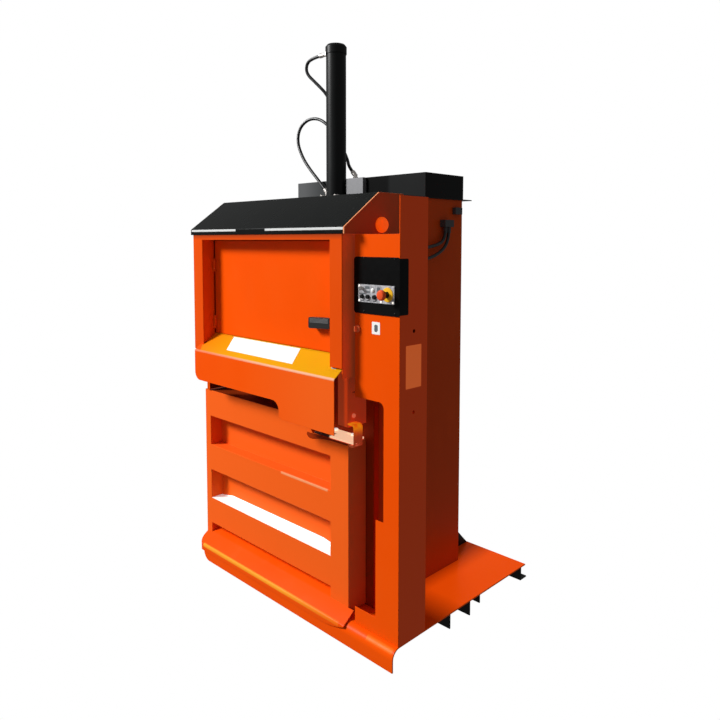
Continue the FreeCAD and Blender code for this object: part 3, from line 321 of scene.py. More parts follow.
def sidePaint(finish, colour):
    frontward = finish.axis("y", finish.facing) < -columnSide["facing"]
    inner = frontward * (finish.axis("x") < columnSide["innerX"])
    colour = finish.mix(inner * columnSide["paintedShade"], colour, tones["paintedShade"])
    rightward = finish.axis("x", finish.facing) > columnSide["facing"]
    return finish.mix(rightward * columnSide["grey"], colour, tones["shadeGrey"])


# The hood's side plates: painted peach highlights on the rims, painted shade on the side faces, and the left
# plate is painted near black.
hoodSide = {"facing": 0.6, "paintedShade": 0.9, "middleX": 0.0}


def hoodSidePaint(finish, colour):
    across = finish.axis("x", finish.facing)
    side = finish.node("ShaderNodeMath", {"operation": "ABSOLUTE"}, {0: across})
    colour = finish.mix((side > hoodSide["facing"]) * hoodSide["paintedShade"], tones["peach"], tones["paintedShade"])
    return finish.mix(finish.axis("x") < hoodSide["middleX"], colour, tones["nearBlack"])


# The frame carries a painted shadow right under the hood.
frameShade = {"amount": (0.22, 0.88, 1.549, 1.570), "frontY": -0.460}


def framePaint(finish, colour):
    under = finish.range(finish.axis("z"), *frameShade["amount"])
    return finish.mix(under * (finish.axis("y") < frameShade["frontY"]), colour, tones["paintedShade"])


# The door is painted paler, a lit copy of the orange; its top is painted dark as shade under the lip, its
# closing edge is painted shaded, and a groove's rim carries a painted peach highlight.
doorTone = {
    "pale": 0.85,
    "facing": 0.7,
    "topZ": 0.80,
    "top": 0.9,
    "closingX": 0.3585,
    "closing": 0.85,
    "rim": {"y": -0.396, "z": 0.551, "width": 0.004, "left": -0.06, "right": 0.24},
}


def doorPaint(finish, colour):
    colour = finish.mix(doorTone["pale"], colour, tones["pale"])
    top = (finish.axis("z", finish.facing) > doorTone["facing"]) * (finish.axis("z") > doorTone["topZ"])
    colour = finish.mix(top * doorTone["top"], colour, tones["inside"])
    rightward = finish.axis("x", finish.facing) > doorTone["facing"]
    closing = rightward * (finish.axis("x") > doorTone["closingX"])
    colour = finish.mix(closing * doorTone["closing"], colour, tones["shaded"])
    return finish.mix(finish.fold(doorTone["rim"]), colour, tones["peach"])


# The cheek beside the door stands in shade, with one lit stripe.
cheekTone = {
    "paintedShade": (0.8, 0.0, 0.335, 0.350),
    "frontY": -0.390,
    "along": (0.0, 1.0, 0.300, 0.362),
    "glow": ((0.0, "cheek"), (0.5, "cheek"), (0.68, "cheekLit"), (0.80, "cheekLit"), (0.95, "post")),
}


def cheekPaint(finish, colour):
    across = finish.axis("x")
    stops = [(place, thrown[kind]) for place, kind in cheekTone["glow"]]
    finish.glow(finish.ramp(finish.range(across, *cheekTone["along"]), *stops))
    front = finish.axis("y") < cheekTone["frontY"]
    return finish.mix(finish.range(across, *cheekTone["paintedShade"]) * front, colour, tones["paintedShade"])


# The skirt is painted a little darker, as painted shade, and its fold carries a painted amber highlight, less
# towards the right.
skirtTone = {
    "paintedShade": 0.06,
    "wearAndHighlight": (0.95, 0.25, 0.0, 0.36),
    "rim": {"y": -0.453, "z": 0.070, "width": 0.006, "left": -0.60, "right": 0.36},
}


def skirtPaint(finish, colour):
    colour = finish.mix(skirtTone["paintedShade"], colour, tones["paintedShade"])
    wearAndHighlight = finish.fold(skirtTone["rim"]) * finish.range(finish.axis("x"), *skirtTone["wearAndHighlight"])
    return finish.mix(wearAndHighlight, colour, tones["amber"])


# The deck's bend carries a painted amber highlight beside the door, and its top behind the column glows with
# painted light.
deckTone = {
    "facing": 0.7,
    "openY": (0.0, 1.0, -0.19, -0.02),
    "openX": (0.0, 1.0, 0.36, 0.47),
    "wearAndHighlight": 0.5,
    "rim": {"y": -0.446, "z": 0.082, "width": 0.010, "left": 0.50, "right": 0.63},
}


def deckPaint(finish, colour):
    behind = finish.range(finish.axis("y"), *deckTone["openY"])
    behind = behind * finish.range(finish.axis("x"), *deckTone["openX"])
    upward = finish.axis("z", finish.facing) > deckTone["facing"]
    finish.glow(finish.mix(behind * upward, thrown["none"], thrown["deck"]))
    return finish.mix(finish.fold(deckTone["rim"]) * deckTone["wearAndHighlight"], colour, tones["amber"])


# Black sheet and castings, a fine grain with dust in slow smears: tone, roughness, dust, shine.
blackPaint = {
    "hood": (shade(0.0040, 0.0048, 0.0045), 0.24, 0.08, 0.14),
    "roof": (shade(0.0070, 0.0075, 0.0075), 0.34, 0.20, 0.16),
    "cylinder": (shade(0.0085, 0.0092, 0.0092), 0.36, 0.05, 0.2),
    "cover": (shade(0.112, 0.115, 0.117), 0.40, 0.04, 0.05),
    "handle": (shade(0.022, 0.023, 0.023), 0.28, 0.15, 0.3),
}
# The hood's lower fold carries a painted white highlight, but for a gap. The cover darkens from its left end
# towards the cylinder, and carries a painted shadow of the cylinder on its right.
hoodLine = {
    "bottom": (0.0, 1.0, 1.5855, 1.5875),
    "top": (1.0, 0.0, 1.5945, 1.5965),
    "frontY": -0.468,
    "gap": (-0.27, -0.06),
    "tone": shade(0.70, 0.71, 0.70),
}
coverDarkening = {
    "darker": (0.0, 1.0, -0.37, -0.24),
    "darkerTone": shade(0.056, 0.059, 0.060),
    "left": (0.0, 1.0, -0.05, 0.03),
    "right": (1.0, 0.78, 0.19, 0.21),
    "tone": shade(0.002, 0.002, 0.002),
}


def hoodHighlightPaint(finish, colour):
    across, along, up = (finish.axis(letter) for letter in "xyz")
    band = finish.range(up, *hoodLine["bottom"]) * finish.range(up, *hoodLine["top"])
    left, right = hoodLine["gap"]
    band = band * (along < hoodLine["frontY"]) * (1 - (across > left) * (across < right))
    return finish.mix(band, colour, hoodLine["tone"])


def coverDarkeningPaint(finish, colour):
    across = finish.axis("x")
    colour = finish.mix(finish.range(across, *coverDarkening["darker"]), colour, coverDarkening["darkerTone"])
    cylinderShadow = finish.range(across, *coverDarkening["left"]) * finish.range(across, *coverDarkening["right"])
    return finish.mix(cylinderShadow, colour, coverDarkening["tone"])


blackLightAndShade = {"hood": hoodHighlightPaint, "cover": coverDarkeningPaint}


def makeBlackPaint(kind):
    tone, rough, dust, shine = blackPaint[kind]
    finish = Finish(kind + "Black", {"IOR": 1.45, "Specular IOR Level": shine})
    smears = finish.ramp(finish.noise(0.12, 5.0, (1, 1, 0.5), 0.6), (0.45, 0.0), (0.8, 1.0))
    pale = shade(*(0.8 * part + 0.022 for part in tone[:3]))
    colour = finish.mix(smears * dust, tone, pale)
    if kind in blackLightAndShade:
        colour = blackLightAndShade[kind](finish, colour)
    finish.set("Base Color", colour)
    finish.set("Roughness", finish.range(smears, rough, rough + 0.10))
    finish.bump(finish.noise(0.0016, 2.0), 0.00003)
    return finish.material


# Moulded plastics: tone, roughness, size and depth of the grain, glow. The glow of the strip, tan and orange
# plastics is painted light, and the grey of the handle's ribs is a painted highlight.
mouldedPlastic = {
    "housing": (shade(0.0010, 0.0011, 0.0012), 0.34, 0.0009, 0.00014, 0.0),
    "black": (shade(0.0060, 0.0060, 0.0065), 0.42, 0.0009, 0.00010, 0.0),
    "sensor": (shade(0.060, 0.060, 0.062), 0.45, 0.0012, 0.00008, 0.0),
    "grey": (shade(0.40, 0.40, 0.42), 0.45, 0.0012, 0.00006, 0.0),
    "white": (shade(0.90, 0.90, 0.88), 0.50, 0.0020, 0.00002, 0.0),
    "strip": (shade(0.92, 0.92, 0.92), 0.50, 0.0020, 0.00002, 0.30),
    "tan": (shade(0.60, 0.107, 0.021), 0.50, 0.0020, 0.00002, 0.50),
    "ink": (shade(0.012, 0.012, 0.014), 0.50, 0.0020, 0.00002, 0.0),
    "highlightGrey": (shade(0.13, 0.135, 0.14), 0.40, 0.0020, 0.00002, 0.0),
    "paleInk": (shade(0.12, 0.135, 0.145), 0.50, 0.0020, 0.00002, 0.0),
    "yellow": (shade(0.93, 0.50, 0.02), 0.34, 0.0020, 0.00003, 0.0),
    "red": (shade(0.84, 0.095, 0.020), 0.28, 0.0020, 0.00003, 0.0),
    "orange": (shade(0.90, 0.10, 0.003), 0.26, 0.0040, 0.00004, 0.55),
    "lock": (shade(0.86, 0.16, 0.05), 0.30, 0.0040, 0.00004, 0.0),
}


# The housing is painted paler along its bottom, a painted reflection, and shines less than the rest.
housingReflection = (14.0, 0.0, 1.283, 1.322)
plasticShine = {"housing": 0.1, "default": 0.2}


def makePlastic(kind):
    tone, rough, grain, depth, glow = mouldedPlastic[kind]
    shine = plasticShine.get(kind, plasticShine["default"])
    fixed = {"IOR": 1.46, "Specular IOR Level": shine, "Emission Color": tone, "Emission Strength": glow}
    finish = Finish(kind + "Plastic", fixed)
    mottle = finish.noise(0.02, 4.0)
    if kind == "housing":
        mottle = mottle + finish.range(finish.axis("z"), *housingReflection)
    pale = shade(*(min(1.0, 1.12 * part + 0.002) for part in tone[:3]))
    finish.set("Base Color", finish.mix(mottle, tone, pale))
    finish.set("Roughness", finish.range(mottle, rough - 0.05, rough + 0.05))
    finish.bump(finish.noise(grain, 2.0), depth)
    return finish.material


# The printed foil behind the buttons: pale grey mottled with darker fields.
foil = {"dark": shade(0.30, 0.30, 0.32), "light": shade(0.56, 0.56, 0.58), "gloss": (0.34, 0.48)}


def makeFoil():
    finish = Finish("controlFoil", {"IOR": 1.46})
    cloud = finish.ramp(finish.noise(0.012, 3.0, (1, 1, 1), 0.6), (0.38, 0.0), (0.62, 1.0))
    finish.set("Base Color", finish.mix(cloud, foil["dark"], foil["light"]))
    finish.set("Roughness", finish.range(cloud, *foil["gloss"]))
    finish.bump(finish.noise(0.002, 2.0), 0.00002)
    return finish.material


# Metals: light and dark tone, roughness, drawn grain, how metallic. Some glow, as painted light.
metalPaintedLight = {"plated": 0.80, "screw": 0.75, "redBolt": 0.45, "steel": 0.05}
metals = {
    "plated": (shade(0.93, 0.62, 0.40), shade(0.84, 0.52, 0.32), (0.40, 0.55), (1, 20, 20), 0.15),
    "screw": (shade(0.90, 0.86, 0.80), shade(0.78, 0.74, 0.70), (0.34, 0.46), (6, 6, 6), 0.25),
    "redBolt": (shade(0.85, 0.20, 0.10), shade(0.75, 0.14, 0.06), (0.40, 0.55), (6, 6, 6), 0.1),
    "steel": (shade(0.72, 0.68, 0.64), shade(0.54, 0.50, 0.47), (0.26, 0.44), (6, 6, 6), 0.8),
    "block": (shade(0.24, 0.24, 0.25), shade(0.19, 0.19, 0.20), (0.40, 0.55), (1, 1, 20), 0.2),
    "chrome": (shade(0.80, 0.80, 0.82), shade(0.74, 0.74, 0.76), (0.05, 0.12), (1, 1, 40), 1.0),
}


# Painted shade on the latch plate at its far front corner, under the lip, where it has no glow.
latchPlateShade = {"x": (1.0, 0.0, 0.243, 0.252), "y": (1.0, 0.0, -0.356, -0.346), "tone": shade(0.07, 0.016, 0.006)}


def makeMetal(kind):
    light, dark, gloss, stretch, metallic = metals[kind]
    glow = {"Emission Color": light, "Emission Strength": metalPaintedLight.get(kind, 0.0)}
    finish = Finish(kind + "Metal", {"Metallic": metallic, **glow})
    grain = finish.noise(0.02, 4.0, stretch, 0.7)
    colour = finish.mix(finish.ramp(grain, (0.35, 0.0), (0.7, 1.0)), light, dark)
    if kind == "plated":
        underLip = finish.range(finish.axis("x"), *latchPlateShade["x"]) * finish.range(finish.axis("y"), *latchPlateShade["y"])
        colour = finish.mix(underLip, colour, latchPlateShade["tone"])
        finish.set("Emission Color", finish.mix(underLip, light, thrown["none"]))
    finish.set("Base Color", colour)
    finish.set("Roughness", finish.range(finish.noise(0.03, 5.0), *gloss))
    finish.bump(grain, 0.00005)
    return finish.material


hoseRubber = {"tone": shade(0.008, 0.008, 0.009), "wearAndHighlight": shade(0.030, 0.030, 0.031), "gloss": (0.34, 0.5)}


def makeRubber():
    finish = Finish("hoseRubber", {"IOR": 1.5})
    wear = finish.ramp(finish.noise(0.03, 4.0), (0.5, 0.0), (0.75, 1.0))
    finish.set("Base Color", finish.mix(wear, hoseRubber["tone"], hoseRubber["wearAndHighlight"]))
    finish.set("Roughness", finish.range(wear, *hoseRubber["gloss"]))
    finish.bump(finish.noise(0.0012, 2.0), 0.0001)
    return finish.material


# The keeper's upper arm catches the light under the ledge; its web stays darker.
keeper = {
    "upper": (0.0, 1.0, 0.800, 0.838),
    "bright": (shade(0.95, 0.12, 0.004), shade(0.97, 0.30, 0.006)),
    "web": shade(0.75, 0.14, 0.04),
    "webGlow": shade(0.16, 0.03, 0.012),
    "glow": 0.55,
    "gloss": (0.34, 0.46),
}


def makeKeeperPaint():
    fixed = {"IOR": 1.48, "Specular IOR Level": 0.1, "Emission Strength": keeper["glow"]}
    finish = Finish("keeperPaint", fixed)
    upper = finish.range(finish.axis("z"), *keeper["upper"])
    blotch = finish.ramp(finish.noise(0.03, 3.0), (0.4, 0.0), (0.6, 1.0))
    bright = finish.mix(blotch, *keeper["bright"])
    finish.set("Base Color", finish.mix(upper, keeper["web"], bright))
    finish.set("Emission Color", finish.mix(upper, keeper["webGlow"], bright))
    finish.set("Roughness", finish.range(blotch, *keeper["gloss"]))
    finish.bump(finish.noise(0.0035, 1.0), 0.0001)
    return finish.material


black = {kind: makeBlackPaint(kind) for kind in blackPaint}
plastic = {kind: makePlastic(kind) for kind in mouldedPlastic}
metal = {kind: makeMetal(kind) for kind in metals}
finishes = {
    "orange_steel": makeOrangePaint("orangePaint", 0.16),
    "black_steel": black["cylinder"],
    "bright_steel": metal["steel"],
    "grey_steel": metal["block"],
    "chrome": metal["chrome"],
    "black_plastic": plastic["black"],
    "grey_plastic": plastic["grey"],
    "yellow_plastic": plastic["yellow"],
    "red_plastic": plastic["red"],
    "orange_plastic": plastic["orange"],
    "rubber": makeRubber(),
}
# Nodes whose orange paint has a field of its own: the paint's name, its grime and the field.
ownPaint = {
    "apron": ("ledgePaint", 0.10, ledgePaint),
    "chamber_shell": ("wallPaint", 0.14, wallPaint),
    "column_shelves": ("shelfPaint", 0.14, wallPaint),
    "hood_sides": ("hoodSidePaint", 0.10, hoodSidePaint),
    "front_frame": ("framePaint", 0.12, framePaint),
    "door_shell": ("doorPaint", 0.14, doorPaint),
    "door_skirt": ("skirtPaint", 0.10, skirtPaint),
    "base_deck": ("deckPaint", 0.16, deckPaint),
    "column_side_panel": ("sidePaint", 0.16, sidePaint),
    "sill_panel": ("sillPaint", 0.14, insidePaint),
    "door_jambs": ("jambPaint", 0.14, insidePaint),
    "door_cheek": ("cheekPaint", 0.14, cheekPaint),
}
ownFinish = {
    "latch_keeper": makeKeeperPaint(),
    "hood": black["hood"],
    "roof_plate": black["roof"],
    "rear_cover": black["cover"],
    "hatch_handle": black["handle"],
    "control_housing": plastic["housing"],
    "wall_boxes": plastic["sensor"],
    "control_plate": makeFoil(),
    "panel_lock": plastic["lock"],
    "latch_bolt": metal["plated"],
    "slide_screws": metal["screw"],
    "cheek_bolt": metal["redBolt"],
}
for name, (title, grime, field) in ownPaint.items():
    ownFinish[name] = makeOrangePaint(title, grime, field)
print("finishes made:", len(finishes) + len(ownFinish))


# Every plain node gets its finish, and real edge radii from a bevel on its sharp edges.
edges = {
    "default": 0.0012,
    "segments": 2,
    "sharp": 28,
    "weld": 0.00002,
    "flat": 0.5,
    "wide": {"apron": 0.0035, "door_skirt": 0.003, "base_deck": 0.0025, "hood": 0.003, "rear_cover": 0.002},
}
finishOf = {entry["node"]: entry["material_slot"] for entry in frame["record"]["subparts"]}


def dress(name):
    node = nodes[name]
    node.data.materials.clear()
    node.data.materials.append(ownFinish.get(name, finishes[finishOf[name]]))
    if "custom_normal" in node.data.attributes:
        node.data.attributes.remove(node.data.attributes["custom_normal"])
    for face in node.data.polygons:
        face.use_smooth = True
    weld = node.modifiers.new("weld", "WELD")
    weld.merge_threshold = edges["weld"]
    flat = node.modifiers.new("flat", "DECIMATE")
    flat.decimate_type = "DISSOLVE"
    flat.angle_limit = math.radians(edges["flat"])
    bevel = node.modifiers.new("bevel", "BEVEL")
    bevel.width = edges["wide"].get(name, edges["default"])
    bevel.segments = edges["segments"]
    bevel.limit_method = "ANGLE"
    bevel.angle_limit = math.radians(edges["sharp"])
    bevel.harden_normals = True


for name in nodes:
    if finishOf[name] != "rubber":
        dress(name)
print("nodes dressed")


# Hoses and cables: where each starts, in metres, and its route from there, in millimetres.
lines = {
    "top_hose": {
        "start": (-0.111, -0.020, 1.729),
        "width": 0.015,
        "length": 0.697,
        "stiffness": "stiff",
        "route": [
            (-110, 0, 683), (-151, 0, 683), (-207, 1, 671), (-221, 8, 623), (-165, 22, 571),
            (-103, 46, 505), (-75, 68, 401), (-69, 72, 291), (-73, 68, 196), (-73, 68, 123),
        ],
    },
    "low_hose": {
        "start": (-0.111, -0.020, 1.729),
        "width": 0.015,
        "length": 0.885,
        "stiffness": "stiff",
        "route": [
            (-78.2, 0, 59.2), (-123, 0, 104), (-181, 0, 156), (-240, 1, 218), (-287, 6, 296),
            (-285, 14, 365), (-239, 26, 407), (-175, 38, 409), (-112, 42, 376), (-62, 50, 320),
            (-24, 62, 256), (8, 66, 196), (40, 42, 161), (66.6, 42, 134.4),
        ],
    },
    "upper_cable": {
        "start": (0.400, -0.265, 1.503),
        "width": 0.014,
        "length": 0.432,
        "stiffness": "medium",
        "route": [
            (16, 391, 103), (16, 391, 72), (20, 365, 37), (27, 285, 19), (32, 195, 13),
            (36, 100, 5), (37, 40, 0), (37, 8, 0),
        ],
    },
    "lower_cable": {
        "start": (0.400, -0.265, 1.449),
        "width": 0.014,
        "length": 0.481,
        "stiffness": "medium",
        "route": [
            (16, 415, 157), (16, 415, 119), (20, 385, 69), (27, 305, 33), (32, 215, 19),
            (36, 115, 7), (37, 43, 0), (37, 8, 0),
        ],
    },
}


lineShape = {"round": 6, "smooth": 14, "order": 3}


def layLine(name):
    line = lines[name]
    curve = bpy.data.curves.new(name + "Line", "CURVE")
    curve.dimensions = "3D"
    curve.bevel_depth = line["width"] / 2
    curve.bevel_resolution = lineShape["round"]
    curve.resolution_u = lineShape["smooth"]
    spline = curve.splines.new("NURBS")
    spline.points.add(len(line["route"]) - 1)
    start = Vector(line["start"])
    for point, offset in zip(spline.points, line["route"]):
        point.co = (*(start + Vector(offset) / 1000), 1.0)
    spline.order_u = lineShape["order"]
    spline.use_endpoint_u = True
    tube = bpy.data.objects.new(name + "Line", curve)
    scene.collection.objects.link(tube)
    curve.materials.append(finishes["rubber"])
    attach(tube, "machine")
    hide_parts(name)


for name in lines:
    layLine(name)
print("hoses and cables laid:", len(lines))


# Small pieces that the machine carries: turned fittings and screws, labels and strips.
def settle(mesh, name, finish, body):
    shell = bpy.data.meshes.new(name)
    bmesh.ops.recalc_face_normals(mesh, faces=mesh.faces)
    mesh.to_mesh(shell)
    mesh.free()
    shell.materials.append(finish)
    piece = bpy.data.objects.new(name, shell)
    scene.collection.objects.link(piece)
    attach(piece, body)
    return piece


# A turned solid: rings of (radius, height) in millimetres along an axis; a ring marked "hex" has six sides.
turned = {"sides": 24, "bevel": 0.00025, "segments": 2, "sharp": 32}


def turnPiece(name, finish, rings, places, axis, body="machine"):
    mesh = bmesh.new()
    sides = turned["sides"]
    turn = Vector((0, 0, 1)).rotation_difference(Vector(axis)).to_matrix()
    for place in places:
        before = None
        for radius, height, *kind in rings:
            ring = []
            for step in range(sides if radius else 1):
                angle = 2 * math.pi * step / sides
                reach = radius
                if kind:
                    reach = radius * math.cos(math.pi / 6) / math.cos(angle % (math.pi / 3) - math.pi / 6)
                point = Vector((reach * math.cos(angle), reach * math.sin(angle), height))
                ring.append(mesh.verts.new((Vector(place) + turn @ point) / 1000))
            if before:
                span = max(len(before), len(ring))
                for step in range(span):
                    corners = [before[step % len(before)], before[(step + 1) % len(before)]]
                    corners += [ring[(step + 1) % len(ring)], ring[step % len(ring)]]
                    mesh.faces.new(dict.fromkeys(corners))
            before = ring
    piece = settle(mesh, name, finish, body)
    for face in piece.data.polygons:
        face.use_smooth = True
    bevel = piece.modifiers.new("bevel", "BEVEL")
    bevel.width = turned["bevel"]
    bevel.segments = turned["segments"]
    bevel.limit_method = "ANGLE"
    bevel.angle_limit = math.radians(turned["sharp"])
    bevel.harden_normals = True


def roundCorners(corners, radius, steps=5):
    points = []
    for before, corner, after in zip(corners[-1:] + corners[:-1], corners, corners[1:] + corners[:1]):
        start = corner + (before - corner).normalized() * radius
        end = corner + (after - corner).normalized() * radius
        for step in range(steps + 1):
            way = step / steps
            points.append(start.lerp(corner, way).lerp(corner.lerp(end, way), way))
    return points


# A thin sheet on a surface: its corners in millimetres, counter-clockwise from outside.
def layPatch(name, finish, corners, thick=0.6, radius=0, body="machine"):
    outline = [Vector(corner) / 1000 for corner in corners]
    if radius:
        outline = roundCorners(outline, radius / 1000)
    mesh = bmesh.new()
    face = mesh.faces.new([mesh.verts.new(point) for point in outline])
    face.normal_update()
    lift = face.normal * thick / 1000
    raised = bmesh.ops.extrude_face_region(mesh, geom=[face])["geom"]
    top = [part for part in raised if isinstance(part, bmesh.types.BMVert)]
    bmesh.ops.translate(mesh, vec=lift, verts=top)
    return settle(mesh, name, finish, body)


# A rectangle facing the operator at depth y, or facing right at x.
def facingFront(left, right, y, low, high):
    return [(left, y, low), (right, y, low), (right, y, high), (left, y, high)]


def facingRight(x, front, back, low, high):
    return [(x, front, low), (x, back, low), (x, back, high), (x, front, high)]


# Crimped sleeves where the hoses leave their fittings.
sleeves = {
    "rings": [
        (0, 0), (9.6, 0), (10.9, 0.8), (10.9, 4.5), (10.3, 5.2), (10.3, 6.6), (10.9, 7.3), (10.9, 11),
        (10.3, 11.7), (10.3, 13.1), (10.9, 13.8), (10.9, 17.5), (9.6, 18.6), (0, 18.6),
    ],
    "ends": [
        ((-203.6, -20, 2412), (-1, 0, 0)),
        ((-176.9, -20, 1775.9), (-1, 0, 1)),
        ((-184, 48, 1834.6), (0, 0, 1)),
        ((-32.1, 22, 1851.1), (-1, 0, 1)),
    ],
}
for number, (place, axis) in enumerate(sleeves["ends"], 1):
    turnPiece(f"hose_sleeve_{number}", metal["steel"], sleeves["rings"], [place], axis)

# Knurled unions on the cables, under the box that they go into.
unions = {
    "rings": [
        (0, -26), (7.2, -26), (8.2, -25), (8.2, -15), (9.8, -14, "hex"), (9.8, -5, "hex"), (8.6, -4),
        (8.6, 0), (0, 0),
    ],
    "places": [(416, 126, 1606), (416, 150, 1606)],
}
turnPiece("cable_unions", plastic["sensor"], unions["rings"], unions["places"], (0, 0, 1))

# Button-head screws with a six-sided recess: where they sit, their finish and slot.
screwHead = [
    (0, 0.4), (1.9, 0.4, "hex"), (1.9, 1.6, "hex"), (2.4, 2.1), (3.6, 1.7), (4.5, 0.7), (4.7, 0), (0, 0),
]
screws = {
    "housing_screws": (
        [(468, -420, 1484), (468, -420, 1290), (620, -420, 1484), (620, -420, 1290)],
        plastic["black"], "black_plastic",
    ),
    "plate_screws": (
        [(447, -423, 1329), (447, -423, 1382), (613, -423, 1329), (556, -423, 1329)],
        metal["screw"], "bright_steel",
    ),
}
for name, (places, finish, slot) in screws.items():
    turnPiece(name, finish, screwHead, places, (0, -1, 0))

# Print on the control foil: plain fields, and a white lamp.
foilPrint = {
    "y": -423,
    "thick": 0.25,
    "radius": 1,
    "fields": [
        (446, 478, 1352, 1357, "paleInk"), (482, 502, 1358, 1364, "paleInk"), (484, 500, 1328, 1331, "ink"),
        (456, 471, 1328, 1331, "ink"), (517, 533, 1328, 1331, "ink"), (536, 552, 1362, 1380, "paleInk"),
        (476, 500, 1372, 1382, "paleInk"),
    ],
}
for number, (left, right, lowZ, highZ, kind) in enumerate(foilPrint["fields"], 1):
    corners = facingFront(left, right, foilPrint["y"], lowZ, highZ)
    thick, radius = foilPrint["thick"], foilPrint["radius"]
    layPatch(f"foil_field_{number}", plastic[kind], corners, thick, radius)
whiteLamp = {
    "rings": [(0, 0), (8.4, 0), (8.4, 2.2), (7.4, 3.0), (6.6, 3.0), (6.2, 4.4), (4.2, 5.6), (0, 6.0)],
    "place": (516, -423, 1368),
}
lampRings, lampPlaces = whiteLamp["rings"], [whiteLamp["place"]]
turnPiece("white_lamp", plastic["white"], lampRings, lampPlaces, (0, -1, 0))
print("small fittings made")

# Bare labels and the ledge's plug: finish, corners, thickness and corner radius.
labels = {
    "ledge_label": (
        "white", [(-349, -471.5, 1056.6), (118, -474, 1054.8), (88, -404.5, 1106.9), (-386, -404.5, 1106.9)],
        0.5, 1.5,
    ),
    "column_label": ("tan", facingRight(640, -383, -299, 1020, 1175), 0.5, 3),
    "small_label": ("white", facingFront(506, 546, -417, 1209, 1254), 0.5, 2),
    "small_label_oval": ("paleInk", facingFront(518, 535, -417.5, 1218, 1245), 0.2, 8),
    "ledge_plug": (
        "grey", [(333, -461, 1064.5), (360, -461, 1064.5), (360, -452, 1071.2), (333, -452, 1071.2)], 1.2, 4,
    ),
}
for name, (kind, corners, thick, radius) in labels.items():
    layPatch(name, plastic[kind], corners, thick, radius)

# Sheets on the frame: the left post's foot behind the ledge, the bead along the ledge's back, the ledge's
# corner under the right post, and the cheek's edge beside the lip. Each has the node whose paint it shares.
foot = {"left": -622, "inner": -618, "flange": -602, "front": -403, "back": -297, "low": 825, "high": 1036}
footWeb = [
    (foot["inner"], foot["back"], foot["high"]), (foot["inner"], foot["front"], foot["high"]),
    (foot["inner"], foot["front"], foot["low"]), (foot["inner"], foot["back"], foot["low"]),
]
sheets = {
    "post_foot_web": ("sill_panel", footWeb, 4),
    "post_foot_flange": (
        "front_frame",
        facingFront(foot["left"], foot["flange"], foot["front"] + 4, foot["low"], foot["high"]), 4,
    ),
    "ledge_bead": (
        "apron", [(-572, -406, 1105.8), (330, -406, 1105.8), (330, -403, 1108.0), (-572, -403, 1108.0)], 2.3,
    ),
    "ledge_corner": (
        "apron", [(326, -469, 1058.5), (391, -469, 1058.5), (391, -446, 1075.7), (326, -446, 1075.7)], 0.6,
    ),
    "cheek_edge": ("door_cheek", facingFront(302, 332, -393.5, 830, 1050), 2.4),
}
for name, (like, corners, thick) in sheets.items():
    layPatch(name, ownFinish[like], corners, thick)

# Painted shade under the latch plate, as a dark sheet on the door.
latchShade = {
    "y": -396,
    "outline": [
        (122, 745), (132, 741.5), (150, 741), (196, 751), (250, 757), (356, 757.5), (356, 764.6),
        (118, 764.6), (114, 754),
    ],
}
shadePatch = [(x, latchShade["y"], z) for x, z in latchShade["outline"]]
layPatch("latch_shade", ownFinish["sill_panel"], shadePatch, 0.4, 0, "main_door")

# Grey ribs on the hatch's handle: a painted highlight on its upper half.
handleHighlightRibs = {
    "count": 4,
    "left": 181,
    "right": 289,
    "y": -435,
    "bottom": 1225,
    "pitch": 4.6,
    "rise": 4,
    "width": 2.6,
}
for number in range(handleHighlightRibs["count"]):
    low = handleHighlightRibs["bottom"] + handleHighlightRibs["pitch"] * number
    high = low + handleHighlightRibs["rise"]
    left, right, y, width = (handleHighlightRibs[key] for key in ("left", "right", "y", "width"))
    corners = [(left, y, low), (right, y, high), (right, y, high + width), (left, y, low + width)]
    layPatch(f"handle_highlight_rib_{number + 1}", plastic["highlightGrey"], corners, 0.7, 0.8, "hatch_lock")

# A pale strip on the shelf of the door's middle groove, turned up at its back. Its glow is painted light.
strip = {"left": -608, "right": 256, "front": -395.4, "back": -334, "shelf": 286, "rise": 20, "thick": 0.8}
stripFlat = [
    (strip["left"], strip["front"], strip["shelf"]), (strip["right"], strip["front"], strip["shelf"]),
    (strip["right"], strip["back"], strip["shelf"]), (strip["left"], strip["back"], strip["shelf"]),
]
stripBack = [
    (strip["left"] + 10, strip["back"], strip["shelf"]), (strip["right"] - 40, strip["back"], strip["shelf"]),
    (strip["right"] - 56, strip["back"], strip["shelf"] + 12),
    (strip["right"] - 110, strip["back"], strip["shelf"] + strip["rise"]),
    (strip["left"] + 90, strip["back"], strip["shelf"] + strip["rise"] - 4),
]
for name, corners in {"groove_strip": stripFlat, "groove_strip_upstand": stripBack}.items():
    layPatch(name, plastic["strip"], corners, strip["thick"], 0, "main_door")
print("labels laid")


# Stage: a white room without edges that neither shades the machine nor shows in its gloss.
stage = {
    "floor": 7.0,
    "bend": 1.6,
    "bendSteps": 9,
    "height": 9.0,
    "sides": 72,
    "white": shade(1.0, 1.0, 1.0),
    "world": 0.20,
}
# Soft square lamps: where they stand, what they are aimed at, their width in metres, watts.
lamps = {
    "key": {"place": (-6.5, -6.9, 6.75), "aim": (0, -0.2, 1.0), "size": 2.6, "power": 1540, "gloss": True},
    "back": {"place": (-4.6, 5.6, 3.6), "aim": (0, 0, 1.1), "size": 3.2, "power": 150, "gloss": False},
}


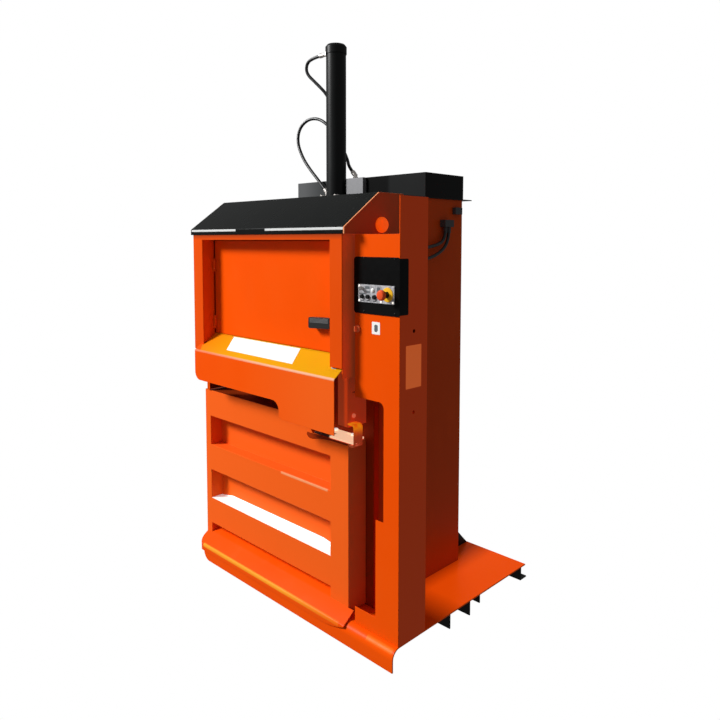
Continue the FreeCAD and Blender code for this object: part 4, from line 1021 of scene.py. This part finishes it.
def buildStage():
    floorEnd, bend, steps = stage["floor"], stage["bend"], stage["bendSteps"]
    profile = [(0.0, 0.0), (floorEnd / 2, 0.0)]
    for step in range(steps + 1):
        turn = math.pi / 2 * step / steps
        profile.append((floorEnd + bend * math.sin(turn), bend * (1 - math.cos(turn))))
    profile += [(floorEnd + bend / 2, stage["height"]), (0.0, stage["height"] + 1)]
    mesh = bmesh.new()
    outline = [mesh.verts.new((out, 0, up)) for out, up in profile]
    joins = [mesh.edges.new(pair) for pair in zip(outline, outline[1:])]
    about = {"axis": (0, 0, 1), "cent": (0, 0, 0), "angle": 2 * math.pi}
    bmesh.ops.spin(mesh, geom=outline + joins, steps=stage["sides"], **about)
    bmesh.ops.remove_doubles(mesh, verts=mesh.verts, dist=0.001)
    ground = bpy.data.meshes.new("floor")
    mesh.to_mesh(ground)
    mesh.free()
    for face in ground.polygons:
        face.use_smooth = True
    floor = bpy.data.objects.new("floor", ground)
    scene.collection.objects.link(floor)
    white = Finish("floorWhite", {"Base Color": shade(0, 0, 0), "Specular IOR Level": 0.0, "Roughness": 1.0})
    white.glow(stage["white"])
    ground.materials.append(white.material)
    floor.visible_diffuse = False
    floor.visible_glossy = False
    floor.visible_shadow = False
    floor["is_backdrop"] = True


def hangLamps():
    world = bpy.data.worlds.new("studio")
    world.use_nodes = True
    sky = world.node_tree.nodes["Background"]
    sky.inputs["Color"].default_value = stage["white"]
    sky.inputs["Strength"].default_value = stage["world"]
    scene.world = world
    for name, lamp in lamps.items():
        light = bpy.data.lights.new(name, "AREA")
        light.shape = "SQUARE"
        light.size = lamp["size"]
        light.energy = lamp["power"]
        holder = bpy.data.objects.new(name, light)
        holder.location = lamp["place"]
        aim = Vector(lamp["aim"]) - Vector(lamp["place"])
        holder.rotation_euler = aim.to_track_quat("-Z", "Y").to_euler()
        holder.visible_glossy = lamp["gloss"]
        scene.collection.objects.link(holder)
    scene.view_settings.view_transform = "Standard"


buildStage()
hangLamps()
print("stage lit")

low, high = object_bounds()
